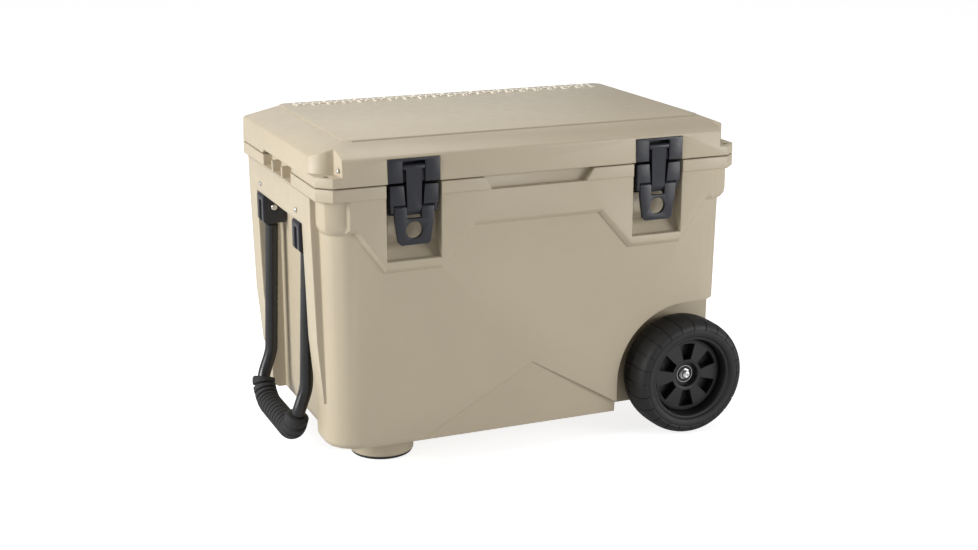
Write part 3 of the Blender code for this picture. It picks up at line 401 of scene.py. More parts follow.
@dataclass(frozen=True)
class Finish:
    """A procedural surface: colour that drifts, fine grain, scuffs and a soft sheen.

    Attributes:
        name: Material name.
        colour: Main colour, linear.
        worn: Colour of the worn or dusty patches.
        roughness: Base roughness.
        metallic: 1 for bare metal.
        grain: Grain pattern's scale.
        grain_height: Strength of the grain bump.
        wear: How much of the worn colour shows.
        coat: Clear coat weight.
        drift: Scale of the slow colour change.
        brushed: True for a streaked metal grain along X.
        edge_round: Radius that shading gives to sharp edges, on top of the mesh's own rounding.
    """

    name: str
    colour: tuple[float, float, float]
    worn: tuple[float, float, float]
    roughness: float
    metallic: float = 0.0
    grain: float = 900.0
    grain_height: float = 0.05
    wear: float = 0.12
    coat: float = 0.0
    drift: float = 7.0
    brushed: bool = False
    edge_round: float = 0.0

    def material(self) -> Material:
        """Builds the node tree once and returns the material."""
        found = bpy.data.materials.get(self.name)
        if found:
            return found
        mat = bpy.data.materials.new(self.name)
        mat.use_nodes = True
        nodes, links = mat.node_tree.nodes, mat.node_tree.links
        shader = nodes["Principled BSDF"]
        shader.inputs["Metallic"].default_value = self.metallic
        shader.inputs["Coat Weight"].default_value = self.coat
        place = nodes.new("ShaderNodeTexCoord")
        mapping = nodes.new("ShaderNodeMapping")
        if self.brushed:
            mapping.inputs["Scale"].default_value = (0.04, 1.0, 1.0)
        links.new(place.outputs["Object"], mapping.inputs["Vector"])

        def noise(scale: float, detail: float, source: bpy.types.NodeSocket) -> bpy.types.Node:
            """A noise texture on the given coordinates."""
            node = nodes.new("ShaderNodeTexNoise")
            node.inputs["Scale"].default_value = scale
            node.inputs["Detail"].default_value = detail
            links.new(source, node.inputs["Vector"])
            return node

        slow = noise(self.drift, 3.0, place.outputs["Object"])
        spots = noise(self.drift * 9.0, 6.0, place.outputs["Object"])
        fine = noise(self.grain, 2.0, mapping.outputs["Vector"])
        mask = nodes.new("ShaderNodeMapRange")
        mask.inputs["From Min"].default_value = 0.48
        mask.inputs["From Max"].default_value = 0.78
        mask.inputs["To Max"].default_value = self.wear
        links.new(spots.outputs["Fac"], mask.inputs["Value"])
        tint = nodes.new("ShaderNodeMix")
        tint.data_type = "RGBA"
        tint.inputs["A"].default_value = (*(c * 0.93 for c in self.colour), 1.0)
        tint.inputs["B"].default_value = (*(min(1.0, c * 1.06) for c in self.colour), 1.0)
        links.new(slow.outputs["Fac"], tint.inputs["Factor"])
        blend = nodes.new("ShaderNodeMix")
        blend.data_type = "RGBA"
        blend.inputs["B"].default_value = (*self.worn, 1.0)
        links.new(tint.outputs["Result"], blend.inputs["A"])
        links.new(mask.outputs["Result"], blend.inputs["Factor"])
        links.new(blend.outputs["Result"], shader.inputs["Base Color"])
        gloss = nodes.new("ShaderNodeMapRange")
        gloss.inputs["From Min"].default_value = 0.25
        gloss.inputs["From Max"].default_value = 0.75
        gloss.inputs["To Min"].default_value = max(0.05, self.roughness - 0.06)
        gloss.inputs["To Max"].default_value = min(1.0, self.roughness + 0.08)
        links.new(spots.outputs["Fac"], gloss.inputs["Value"])
        links.new(gloss.outputs["Result"], shader.inputs["Roughness"])
        bump = nodes.new("ShaderNodeBump")
        bump.inputs["Strength"].default_value = self.grain_height
        bump.inputs["Distance"].default_value = 0.0006
        links.new(fine.outputs["Fac"], bump.inputs["Height"])
        if self.edge_round:
            rounding = nodes.new("ShaderNodeBevel")
            rounding.samples = 6
            rounding.inputs["Radius"].default_value = self.edge_round
            links.new(rounding.outputs["Normal"], bump.inputs["Normal"])
        links.new(bump.outputs["Normal"], shader.inputs["Normal"])
        return mat


TAN = Finish(
    "tan_moulded_shell", (0.495, 0.425, 0.310), (0.42, 0.36, 0.26), 0.40,
    grain=1100.0, grain_height=0.30, wear=0.10, edge_round=0.0028,
)
LINER = Finish(
    "tan_liner", (0.52, 0.45, 0.335), (0.44, 0.38, 0.28), 0.34, grain=700.0, grain_height=0.12, wear=0.10
)
INSULATION = Finish(
    "cream_foam", (0.80, 0.74, 0.55), (0.60, 0.52, 0.34), 0.9, grain=500.0, grain_height=0.8, wear=0.3
)
SLATE = Finish(
    "slate_moulding", (0.017, 0.018, 0.025), (0.040, 0.042, 0.050), 0.36,
    grain=1300.0, grain_height=0.25, wear=0.20,
)
RIM_BLACK = Finish(
    "rim_black_plastic", (0.006, 0.006, 0.007), (0.022, 0.022, 0.023), 0.42,
    grain=1100.0, grain_height=0.25, wear=0.20,
)
TYRE = Finish(
    "tyre_black_rubber", (0.008, 0.008, 0.009), (0.024, 0.023, 0.022), 0.58,
    grain=800.0, grain_height=0.5, wear=0.25,
)
RUBBER = Finish(
    "dark_foot_rubber", (0.020, 0.020, 0.020), (0.060, 0.057, 0.052), 0.72,
    grain=800.0, grain_height=0.4, wear=0.3,
)
TUBE = Finish(
    "satin_black_tube", (0.007, 0.007, 0.008), (0.024, 0.024, 0.025), 0.30,
    grain=1600.0, grain_height=0.08, wear=0.04, coat=0.15,
)
GRIP = Finish(
    "grip_black_foam", (0.013, 0.013, 0.014), (0.036, 0.036, 0.038), 0.70,
    grain=1500.0, grain_height=0.9, wear=0.30,
)
# Paler cream than the shell: a painted highlight standing in for the light that catches the raised scale marks.
MARK_PAINTED_HIGHLIGHT = Finish(
    "tan_raised_mark", (0.90, 0.85, 0.74), (0.78, 0.72, 0.60), 0.38,
    grain=1100.0, grain_height=0.10, wear=0.08,
)
STEEL = Finish(
    "bright_steel", (0.74, 0.74, 0.74), (0.50, 0.49, 0.47), 0.22,
    metallic=1.0, grain=900.0, grain_height=0.06, wear=0.25, brushed=True,
)


def dress(obj: Object, finish: Finish, body: str, nodes: Sequence[str] = ()) -> Object:
    """Gives a piece its finish and hands it to the frame.

    Args:
        obj: The finished piece.
        finish: Its surface.
        body: The body that it moves with.
        nodes: Frame nodes that it stands for.

    Returns:
        The piece.
    """
    obj.data.materials.clear()
    obj.data.materials.append(finish.material())
    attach(obj, body)
    if nodes:
        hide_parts(*nodes)
    LOG.info("%s: %d faces on %s", obj.name, len(obj.data.polygons), body)
    return obj


# ---------------------------------------------------------------- shared places


@dataclass(frozen=True)
class Datum:
    """Places that several sub-assemblies share, in metres about the chest's middle.

    Attributes:
        shift_x: Where the chest's middle lies along X in the frame.
        shift_y: The same along Y.
        seam: Height where chest and lid meet.
        wheel_x: The axle's place.
        wheel_radius: Radius of the tyres, and the axle's height.
        wheel_out: How far out the tyres reach.
        wheel_wide: Width of a tyre.
        hub_face: Where a wheel's sunk hub ends.
        arm_spread: Half the distance between the bail's arms.
        pivot_x: Where the bail turns.
        pivot_z: Height of that axis.
        tube_radius: Radius of the bail's tube.
        panel_top: Height of the lid's raised panel.
        foot_x: The feet's place along X.
        foot_y: Their place along Y.
        drain_x: The drain's place along X.
        drain_z: Its height.
        drain_y: Where the rear wall lies at the drain.
    """

    shift_x: float = 0.00715
    shift_y: float = 0.0
    seam: float = 0.430
    wheel_x: float = 0.251
    wheel_radius: float = 0.091
    wheel_out: float = 0.234
    wheel_wide: float = 0.069
    hub_face: float = 0.207
    arm_spread: float = 0.096
    pivot_x: float = -0.3148
    pivot_z: float = 0.3458
    tube_radius: float = 0.010
    panel_top: float = 0.490
    foot_x: float = 0.210
    foot_y: float = 0.102
    drain_x: float = 0.060
    drain_z: float = 0.101
    drain_y: float = 0.196

    def behind(self) -> Matrix:
        """Half a turn about the upright line through the wheels' middle, front to rear."""
        place = Matrix.Translation((self.wheel_x + self.shift_x, self.shift_y, 0.0))
        return place @ Matrix.Rotation(math.pi, 4, "Z") @ place.inverted()

    def at(self, x: float, y: float, z: float) -> Point:
        """A point given about the chest's middle, in the frame."""
        return (x + self.shift_x, y + self.shift_y, z)


DATUM = Datum()


@dataclass
class Chest:
    """The tan outer shell and its liner.

    Attributes:
        edge: Radius of the moulded edges.
        liner_edge: Radius of the liner's edges.
    """

    edge: float = 0.0028
    liner_edge: float = 0.0012

    def build(self) -> list[Object]:
        """Makes the chest's pieces."""

        def is_rim(centre: Vector, normal: Vector) -> bool:
            """A face of the flat rim round the opening."""
            return centre.z > DATUM.seam - 0.0005 and normal.z > UPWARD

        shell = copy_of_node("body_shell", "chest_shell", is_rim)
        round_edges(shell, self.edge, 3, 28.0)
        smooth(shell, 35.0)
        dress(shell, TAN, "chest", ["body_shell"])
        liner = copy_of_node("inner_liner", "chest_liner")
        round_edges(liner, self.liner_edge, 3, 40.0)
        smooth(liner, 35.0)
        dress(liner, LINER, "chest", ["inner_liner"])
        return [shell, liner]


@dataclass
class Lid:
    """The lid's outer shell with its raised panel.

    Attributes:
        edge: Radius of the moulded edges.
        brow: Radius where the slopes begin.
        brow_z: Height of that outline.
        brow_x: Least distance of that outline from the middle along X.
        brow_y: The same along Y.
    """

    edge: float = 0.0012
    brow: float = 0.0060
    brow_z: float = 0.4700
    brow_x: float = 0.327
    brow_y: float = 0.209

    def build(self) -> list[Object]:
        """Makes the lid's pieces."""
        shell = copy_of_node("lid_shell", "lid_outer_shell")

        def is_brow(first: Vector, second: Vector) -> bool:
            """An edge of the outline where the lid's slopes begin."""
            level = max(abs(first.z - self.brow_z), abs(second.z - self.brow_z)) < 0.0004
            outside = all(
                abs(end.x - DATUM.shift_x) > self.brow_x or abs(end.y) > self.brow_y for end in (first, second)
            )
            return level and outside

        pick_edges(shell, is_brow)
        bpy.ops.mesh.bevel(offset=self.brow, segments=4, affect="EDGES", clamp_overlap=True)
        close_edit()
        round_edges(shell, self.edge, 2, 30.0)
        smooth(shell, 35.0)
        dress(shell, TAN, "lid", ["lid_shell"])
        return [shell]


@dataclass
class Scale:
    """The raised two-row measuring scale along the rear of the lid's panel.

    Attributes:
        start: Where it starts along X, about the chest's middle.
        length: How long it is.
        middle_y: The line between its two rows.
        raised: How far its marks stand up.
        line_half: Half the width of the middle line.
        tick_gap: Distance from the middle line to a tick.
        tick_short: Length of a tick.
        tick_long: Length of a longer tick.
        tick_wide: Width of a tick.
        digit: Height of a number.
    """

    start: float = -0.257
    length: float = 0.510
    middle_y: float = 0.1440
    raised: float = 0.0014
    line_half: float = 0.0010
    tick_gap: float = 0.0030
    tick_short: float = 0.0050
    tick_long: float = 0.0085
    tick_wide: float = 0.0022
    digit: float = 0.0095

    def mark(self, name: str, x: float, low_y: float, high_y: float, wide: float) -> Object:
        """One raised bar."""
        top = DATUM.panel_top
        low = DATUM.at(x - wide / 2, low_y, top - 0.0005)
        high = DATUM.at(x + wide / 2, high_y, top + self.raised)
        return block(name, low, high)

    def row(self, name: str, step: float, every: int, direction: int) -> list[Object]:
        """A row of ticks with a longer one at regular steps.

        Args:
            name: Start of each tick's name.
            step: Distance between ticks.
            every: How many ticks lie between the long ones.
            direction: 1 for the rear row, -1 for the front row.

        Returns:
            The ticks.
        """
        made = []
        for number in range(int(self.length / step) + 1):
            reach = self.tick_long if number % every == 0 else self.tick_short
            near = self.middle_y + direction * self.tick_gap
            far = self.middle_y + direction * (self.tick_gap + reach)
            low, high = sorted((near, far))
            made.append(self.mark(f"{name}_{number}", self.start + number * step, low, high, self.tick_wide))
        return made

    def numbers(self, name: str, step: float, count: int, low_y: float) -> list[Object]:
        """Plain raised numbers at regular steps."""
        made = []
        for number in range(1, count + 1):
            deselect()
            place = DATUM.at(self.start + number * step, low_y, DATUM.panel_top - 0.0002)
            bpy.ops.object.text_add(location=place)
            text = bpy.context.object
            text.data.body = str(number)
            text.data.size = self.digit
            text.data.align_x = "CENTER"
            text.data.extrude = self.raised
            text.data.resolution_u = 3
            text.name = f"{name}_{number}"
            bpy.ops.object.convert(target="MESH")
            made.append(settle(bpy.context.object))
        return made

    def build(self) -> Object:
        """Makes the scale as one raised piece on the lid, in a paler finish that paints a highlight on its marks."""
        low, high = self.middle_y - self.line_half, self.middle_y + self.line_half
        line = self.mark("lid_scale", self.start + self.length / 2, low, high, self.length)
        marks = self.row("scale_tick_fine", 0.010, 5, 1)
        marks += self.row("scale_tick_coarse", 0.0127, 2, -1)
        marks += self.numbers("scale_number_rear", 0.050, 10, self.middle_y + 0.0125)
        marks += self.numbers("scale_number_front", 0.0254, 20, self.middle_y - 0.0185)
        scale = gather(line, marks)
        # The marks get the paler finish, which paints their highlight.
        return dress(scale, MARK_PAINTED_HIGHLIGHT, "lid")


# ---------------------------------------------------------------- wheels


@dataclass
class Wheel:
    """One wheel, modelled at the front and turned round for the rear.

    Attributes:
        sipes: How many thin cuts cross the tyre's shoulder.
        windows: How many blind windows the disc has.
        tread_from: Least radius that a cut reaches in to.
        sipe_half: Half the width of a cut.
        sipe_deep: Depth of a cut.
        window_in: Inner radius of a window.
        window_out: Outer radius of a window.
        window_half: Half a window's angle, in degrees.
        window_deep: Depth of a window.
    """

    sipes: int = 24
    windows: int = 6
    tread_from: float = 0.0765
    sipe_half: float = 0.00065
    sipe_deep: float = 0.0013
    window_in: float = 0.0245
    window_out: float = 0.0512
    window_half: float = 14.0
    window_deep: float = 0.0148

    @property
    def centre(self) -> Point:
        """The middle of the axle."""
        return DATUM.at(DATUM.wheel_x, 0.0, DATUM.wheel_radius)

    def polar(self, point: Vector) -> tuple[float, float]:
        """Radius and angle in degrees of a point about the axle."""
        x, z = point.x - self.centre[0], point.z - self.centre[2]
        return math.hypot(x, z), math.degrees(math.atan2(z, x))

    def tyre(self) -> Object:
        """The solid tyre: round shoulders, a moulded ring on its wall and thin cuts in its tread."""
        out, inner = DATUM.wheel_out, DATUM.wheel_out - DATUM.wheel_wide
        wall = [
            (0.0603, 0.0095), (0.0606, 0.0072), (0.0618, 0.0052), (0.0636, 0.0044), (0.0652, 0.0046),
            (0.0658, 0.0034), (0.0668, 0.0020), (0.0690, 0.0007), (0.0725, 0.0), (0.0752, 0.0001),
            (0.0762, 0.0010), (0.0772, 0.0012), (0.0784, 0.0007), (0.0812, 0.0012), (0.0845, 0.0032),
            (0.0872, 0.0064), (0.0889, 0.0105), (0.0901, 0.0155), (0.0908, 0.0215),
        ]
        profile = [(radius, out - depth) for radius, depth in wall]
        profile += [(0.0910, out - 0.030), (0.0910, inner + 0.026)]
        profile += [(radius, inner + depth) for radius, depth in reversed(wall[10:])]
        profile += [(0.0752, inner + 0.001), (0.0640, inner + 0.004), (0.0603, inner + 0.008)]
        tyre = spun("tyre_front_moulded", Axis.Y, self.centre, profile, 96)
        step = 360.0 / self.sipes

        def is_sipe(first: Vector, second: Vector) -> bool:
            """An edge along the profile, on the tread, at one of the cuts."""
            (radius_1, turn_1), (radius_2, turn_2) = self.polar(first), self.polar(second)
            level = abs(first.y - second.y) > 1e-5 and abs(turn_1 - turn_2) < 0.1
            at_cut = abs((turn_1 + step / 2) % step - step / 2) < 0.2
            return level and min(radius_1, radius_2) > self.tread_from and at_cut

        pick_edges(tyre, is_sipe)
        bpy.ops.mesh.bevel(offset=self.sipe_half, segments=1, affect="EDGES")
        bpy.ops.mesh.select_mode(type="FACE")
        bpy.ops.mesh.extrude_region_shrink_fatten(TRANSFORM_OT_shrink_fatten={"value": -self.sipe_deep})
        close_edit()
        return smooth(tyre, 32.0)

    def disc(self) -> Object:
        """The black wheel disc: a ringed edge, blind wedge windows and a sunk hub."""
        face, back = DATUM.wheel_out - 0.020, DATUM.wheel_out - DATUM.wheel_wide + 0.005
        hub = DATUM.hub_face
        profile = [
            (0.0139, back + 0.003), (0.0139, hub - 0.0012), (0.0178, hub - 0.0012), (0.0184, hub),
            (0.0188, face - 0.0016), (0.0196, face - 0.0004), (0.0206, face),
            (self.window_in, face), (self.window_out, face),
            (0.0532, face), (0.0536, face - 0.0006), (0.0542, face - 0.0006), (0.0546, face),
            (0.0560, face), (0.0569, face - 0.0007), (0.0573, face - 0.0020), (0.0575, face - 0.0055),
            (0.0592, face - 0.0058), (0.0600, face - 0.0040), (0.0600, back), (0.0560, back),
            (0.0540, face - 0.020), (0.0220, face - 0.020), (0.0200, back + 0.003),
        ]
        disc = spun("wheel_disc_front", Axis.Y, self.centre, profile, 72)
        front_y = self.centre[1] - face
        pitch = 360.0 / self.windows

        def is_window(centre: Vector, normal: Vector) -> bool:
            """A face of the flat disc that lies in one of the windows."""
            radius, turn = self.polar(centre)
            inside = self.window_in < radius < self.window_out and abs(centre.y - front_y) < 1e-4
            return inside and abs((turn - 90.0 + pitch / 2) % pitch - pitch / 2) < self.window_half

        pick_faces(disc, is_window)
        bpy.ops.mesh.inset(thickness=0.0006, depth=-0.0006, use_even_offset=True)
        bpy.ops.mesh.extrude_region_move(TRANSFORM_OT_translate={"value": (0.0, self.window_deep, 0.0)})
        close_edit()
        return smooth(disc, 32.0)

    def bearing(self) -> tuple[Object, Object]:
        """The bearing's bright rings and the dark seal between them."""
        hub, back = DATUM.hub_face, DATUM.wheel_out - DATUM.wheel_wide + 0.007
        outer = [
            (0.0125, back), (0.0125, hub - 0.0004), (0.0127, hub),
            (0.0133, hub), (0.0135, hub - 0.0003), (0.0135, back),
        ]
        bore = [
            (0.0051, back), (0.0051, hub - 0.0002), (0.0053, hub),
            (0.0084, hub), (0.0086, hub - 0.0003), (0.0086, back),
        ]
        rings = spun("bearing_rings_front", Axis.Y, self.centre, outer, 64)
        gather(rings, [spun("bearing_bore_ring", Axis.Y, self.centre, bore, 64)])
        lip = [
            (0.0086, back), (0.0086, hub - 0.0012), (0.0100, hub - 0.0007),
            (0.0112, hub - 0.0007), (0.0125, hub - 0.0012), (0.0125, back),
        ]
        seal = spun("bearing_seal_front", Axis.Y, self.centre, lip, 64)
        return smooth(rings, 32.0), smooth(seal, 32.0)

    def fastening(self) -> tuple[Object, Object]:
        """The washer and the domed axle nut with its dimple."""
        start = DATUM.hub_face + 0.0006
        ring = [
            (0.0054, start), (0.0078, start), (0.0079, start + 0.0004),
            (0.0078, start + 0.0014), (0.0074, start + 0.0016), (0.0054, start + 0.0016),
        ]
        washer = spun("axle_washer_turned_front", Axis.Y, self.centre, ring, 64)
        low = start + 0.0019
        dome = [
            (0.0054, low), (0.0066, low), (0.0069, low + 0.0005), (0.0069, low + 0.0024), (0.0064, low + 0.0036),
            (0.0054, low + 0.0046), (0.0042, low + 0.0052), (0.0028, low + 0.0054), (0.0020, low + 0.0051),
            (0.0017, low + 0.0042), (0.0002, low + 0.0042), (0.0002, low + 0.0036), (0.0052, low + 0.0032),
        ]
        nut = spun("axle_nut_domed_front", Axis.Y, self.centre, dome, 64)
        return smooth(washer, 32.0), smooth(nut, 38.0)

    def spacer(self) -> Object:
        """The sleeve between the wheel and the chest."""
        low, high = 0.1553, DATUM.wheel_out - DATUM.wheel_wide + 0.0067
        ring = [
            (0.0053, low), (0.0108, low), (0.0110, low + 0.0004),
            (0.0110, high - 0.0004), (0.0108, high), (0.0053, high),
        ]
        return smooth(spun("wheel_sleeve_front", Axis.Y, self.centre, ring, 48), 32.0)

    def build(self) -> None:
        """Makes both wheels with what holds them."""
        tyre, disc, spacer = self.tyre(), self.disc(), self.spacer()
        rings, seal = self.bearing()
        washer, nut = self.fastening()
        kit = [
            (tyre, TYRE, Slot.TYRE, "wheel", "tyre"),
            (disc, RIM_BLACK, Slot.RIM, "wheel", "wheel_rim"),
            (rings, STEEL, Slot.STEEL, "wheel", "bearing"),
            (seal, RUBBER, Slot.STEEL, "wheel", ""),
            (washer, STEEL, Slot.STEEL, "chest", "axle_washer"),
            (nut, STEEL, Slot.STEEL, "chest", "axle_nut"),
            (spacer, SLATE, Slot.SLATE, "chest", "wheel_spacer"),
        ]
        for piece, finish, slot, body, node in kit:
            twin = copies(piece, [DATUM.behind()])[0]
            twin.name = piece.name.replace("front", "rear")
            for obj, end in ((piece, "front"), (twin, "rear")):
                owner = f"wheel_{end}" if body == "wheel" else body
                dress(obj, finish, owner, [f"{node}_{end}"] if node else [])
        axle = rod("axle_rod", Axis.Y, self.centre, 0.005, 2 * (DATUM.hub_face + 0.0040), 48)
        round_edges(axle, 0.0006, 2, 40.0)
        dress(smooth(axle, 40.0), STEEL, "chest", ["axle"])


# ---------------------------------------------------------------- handle


@dataclass
class TowHandle:
    """The drop-down bail, its grooved foam grip and the two brackets it hangs from.

    Attributes:
        lean: How far the arms lean out before the bend.
        straight_z: Where the bend starts.
        reach: How far out the grip hangs.
        grip_z: Height of the grip's centre line.
        corner: Radius of the bail's two corners.
        grip_radius: Radius of the foam.
        groove: Distance between the foam's ring grooves.
        groove_half: Half the width of a groove.
        groove_deep: Depth of a groove.
        end_round: Length of the sleeve's rounded ends.
        lug_long: How far a flat lug reaches down from the pivot.
        lug_radius: Radius of a lug's top.
        lug_half: Half a lug's thickness.
    """

    lean: float = 0.0077
    straight_z: float = 0.122
    reach: float = 0.024
    grip_z: float = 0.038
    corner: float = 0.045
    grip_radius: float = 0.0178
    groove: float = 0.0125
    groove_half: float = 0.0021
    groove_deep: float = 0.0034
    end_round: float = 0.0035
    lug_long: float = 0.0335
    lug_radius: float = 0.009
    lug_half: float = 0.0058

    def line_x(self, z: float) -> float:
        """Where the centre line lies along X at a height."""
        top = DATUM.pivot_z - self.lug_long + 0.008
        if z >= self.straight_z:
            return DATUM.pivot_x - self.lean * (top - z) / (top - self.straight_z)
        blend = min(1.0, (self.straight_z - z) / (self.straight_z - 0.058))
        return DATUM.pivot_x - self.lean - (self.reach - self.lean) * blend * blend * (3 - 2 * blend)

    def path(self, top: float, step: float) -> list[Vector]:
        """The centre line from one side's height round to the other's.

        Args:
            top: The height at which both ends stop.
            step: Distance between points.

        Returns:
            The points, in the frame.
        """
        corner_z = self.grip_z + self.corner
        half: list[tuple[float, float]] = []
        if top > corner_z:
            count = max(2, round((top - corner_z) / step))
            half = [(-DATUM.arm_spread, top - (top - corner_z) * i / count) for i in range(count)]
            first = 0.0
        else:
            first = math.asin((corner_z - top) / self.corner)
        turns = max(4, round((math.pi / 2 - first) * self.corner / step))
        for i in range(turns + 1):
            turn = first + (math.pi / 2 - first) * i / turns
            y = -DATUM.arm_spread + self.corner * (1 - math.cos(turn))
            half.append((y, corner_z - self.corner * math.sin(turn)))
        flat = -half[-1][0]
        across = max(2, round(2 * flat / step))
        middle = [(-flat + 2 * flat * i / across, self.grip_z) for i in range(1, across)]
        whole = half + middle + [(-y, z) for y, z in reversed(half)]
        return [Vector(DATUM.at(self.line_x(z), y, z)) for y, z in whole]

    def bail(self) -> Object:
        """The bent tube with a flat lug at each end."""
        points = self.path(DATUM.pivot_z - self.lug_long + 0.003, 0.006)
        bail = tube("bail_tube", points, [DATUM.tube_radius] * len(points))
        lugs = []
        for sign in (-1, 1):
            y = sign * DATUM.arm_spread
            x, z = DATUM.pivot_x, DATUM.pivot_z
            turns = [math.pi * i / 12 for i in range(13)]
            foot = z - self.lug_long - 0.004
            outline = [(x + self.lug_radius * math.cos(turn), z + self.lug_radius * math.sin(turn)) for turn in turns]
            outline += [(x - 0.0092, foot), (x + 0.0072, foot)]
            outline = [(a + DATUM.shift_x, b) for a, b in outline]
            low, high = y - self.lug_half + DATUM.shift_y, y + self.lug_half + DATUM.shift_y
            lug = prism(f"lug_{sign + 1}", outline, Axis.Y, low, high)
            bore = rod("lug_bore", Axis.Y, DATUM.at(x, y, z), 0.0041, 0.03, 32)
            combine(lug, [bore], "DIFFERENCE")
            lugs.append(round_edges(lug, 0.0012, 3, 35.0))
        combine(bail, lugs, "UNION")
        return dress(smooth(bail, 35.0), TUBE, "handle", ["handle_bail"])

    def grip(self) -> Object:
        """The foam sleeve, with rounded ends and evenly spaced ring grooves."""
        points = self.path(0.070, 0.0008)
        travelled = [0.0]
        for first, second in zip(points, points[1:]):
            travelled.append(travelled[-1] + (second - first).length)
        total = travelled[-1]
        count = round(total / self.groove)
        pitch = total / count
        radii = []
        for along in travelled:
            radius = self.grip_radius
            near = abs((along + pitch / 2) % pitch - pitch / 2)
            edge = min(along, total - along)
            if near < self.groove_half and edge > pitch / 2:
                radius -= self.groove_deep * (1 - (near / self.groove_half) ** 2) + 0.0002
            if edge < self.end_round:
                radius -= 0.0032 * (1 - edge / self.end_round) ** 2
            radii.append(radius)
        grip = tube("grip_sleeve", points, radii, 14)
        return dress(smooth(grip, 48.0), GRIP, "handle", ["handle_grip"])

    def socket_screw(self, name: str, axis: Axis, seat: Point, head: float, tall: float) -> Object:
        """A domed screw head with a hexagon socket, its top towards -X or -Y.

        Args:
            name: The piece's name.
            axis: The axis it lies along.
            seat: The middle of its seat.
            head: Radius of the head.
            tall: Height of the head.

        Returns:
            The piece.
        """
        profile = [
            (0.0004, -0.012), (head * 0.5, -0.012), (head * 0.5, 0.0), (head, 0.0), (head, tall * 0.35),
            (head * 0.88, tall * 0.75), (head * 0.62, tall), (head * 0.42, tall),
            (head * 0.38, tall * 0.45), (0.0004, tall * 0.40),
        ]
        sign = -1.0 if axis is Axis.X else 1.0
        profile = [(radius, sign * along) for radius, along in profile]
        return smooth(spun(name, axis, seat, profile, 40), 35.0)

    def build(self) -> None:
        """Makes the handle and what it hangs on."""
        self.bail()
        self.grip()
        for sign, end in ((-1, "front"), (1, "rear")):
            y = sign * DATUM.arm_spread
            bracket = copy_of_node(f"handle_bracket_{end}", f"bracket_block_{end}")
            round_edges(bracket, 0.0011, 3, 35.0)
            dress(smooth(bracket, 38.0), SLATE, "chest", [f"handle_bracket_{end}"])
            seat = DATUM.at(DATUM.pivot_x, y - 0.0173, DATUM.pivot_z)
            bolt = self.socket_screw(f"pivot_bolt_head_{end}", Axis.Y, seat, 0.0050, 0.0022)
            middle = DATUM.at(DATUM.pivot_x, y + 0.0002, DATUM.pivot_z)
            shank = rod("bolt_shank", Axis.Y, middle, 0.0039, 0.0345, 32)
            dress(gather(bolt, [smooth(shank, 40.0)]), STEEL, "chest", [f"pivot_bolt_{end}"])
            above = DATUM.at(-0.3303, y, 0.3805)
            fixing = self.socket_screw(f"fixing_screw_{end}", Axis.X, above, 0.0037, 0.0021)
            dress(fixing, STEEL, "chest", [f"bracket_screw_{end}"])


# ---------------------------------------------------------------- small fittings


@dataclass
class Drain:
    """The spout in the rear wall and the bung that closes it."""

    def build(self) -> None:
        """Makes both pieces."""
        centre = DATUM.at(DATUM.drain_x, 0.0, DATUM.drain_z)
        seat = DATUM.drain_y
        flange = [
            (0.0092, 0.160), (0.0117, 0.160), (0.0119, seat + 0.0004),
            (0.0196, seat + 0.0004), (0.0200, seat + 0.0010),
            (0.0200, seat + 0.0030), (0.0192, seat + 0.0040), (0.0160, seat + 0.0052), (0.0150, seat + 0.0066),
            (0.0150, seat + 0.0094), (0.0145, seat + 0.0099), (0.0096, seat + 0.0099), (0.0092, seat + 0.0095),
        ]
        spout = spun("drain_spout_moulded", Axis.Y, centre, [(radius, -along) for radius, along in flange], 64)
        dress(smooth(spout, 35.0), SLATE, "chest", ["drain_spout"])
        cap = seat + 0.0103
        plug = [
            (0.0004, 0.166), (0.0080, 0.166), (0.0087, 0.170), (0.0087, cap), (0.0140, cap),
            (0.0145, cap + 0.0006), (0.0145, cap + 0.0034), (0.0138, cap + 0.0040), (0.0004, cap + 0.0042),
        ]
        bung = spun("drain_bung_moulded", Axis.Y, centre, [(radius, -along) for radius, along in plug], 64)
        low = DATUM.at(DATUM.drain_x - 0.0105, cap + 0.0020, DATUM.drain_z - 0.0025)
        high = DATUM.at(DATUM.drain_x + 0.0105, cap + 0.0130, DATUM.drain_z + 0.0025)
        wing = round_edges(block("bung_wing", low, high), 0.0011, 3, 40.0)
        combine(bung, [wing], "UNION")
        dress(smooth(bung, 38.0), RUBBER, "drain_plug", ["drain_bung"])


@dataclass
class Feet:
    """The two ribbed rubber pads."""

    def build(self) -> None:
        """Makes both pads."""
        profile = [
            (0.0006, 0.0006), (0.0300, 0.0006), (0.0310, 0.0), (0.0436, 0.0),
            (0.0450, 0.0006), (0.0460, 0.0016), (0.0464, 0.0024), (0.0461, 0.0028),
            (0.0466, 0.0033), (0.0470, 0.0044), (0.0466, 0.0049), (0.0006, 0.0049),
        ]
        for sign, end in ((-1, "front"), (1, "rear")):
            centre = DATUM.at(-DATUM.foot_x, sign * DATUM.foot_y, 0.0)
            pad = spun(f"foot_pad_moulded_{end}", Axis.Z, centre, profile, 96)
            dress(smooth(pad, 35.0), RUBBER, "chest", [f"foot_pad_{end}"])


@dataclass(frozen=True)
class Soft:
    """A frame piece that keeps its shape and gets rounded edges.

    Attributes:
        node: The frame node.
        edge: Radius of its edges.
        finish: Its surface.
        slot: Its material slot; not used.
        body: The body that it moves with.
    """

    node: str
    edge: float
    finish: Finish
    slot: Slot
    body: str

    def build(self) -> Object:
        """Makes the rounded piece."""
        piece = copy_of_node(self.node, f"{self.node}_rounded")
        round_edges(piece, self.edge, 3, 32.0)
        return dress(smooth(piece, 38.0), self.finish, self.body, [self.node])


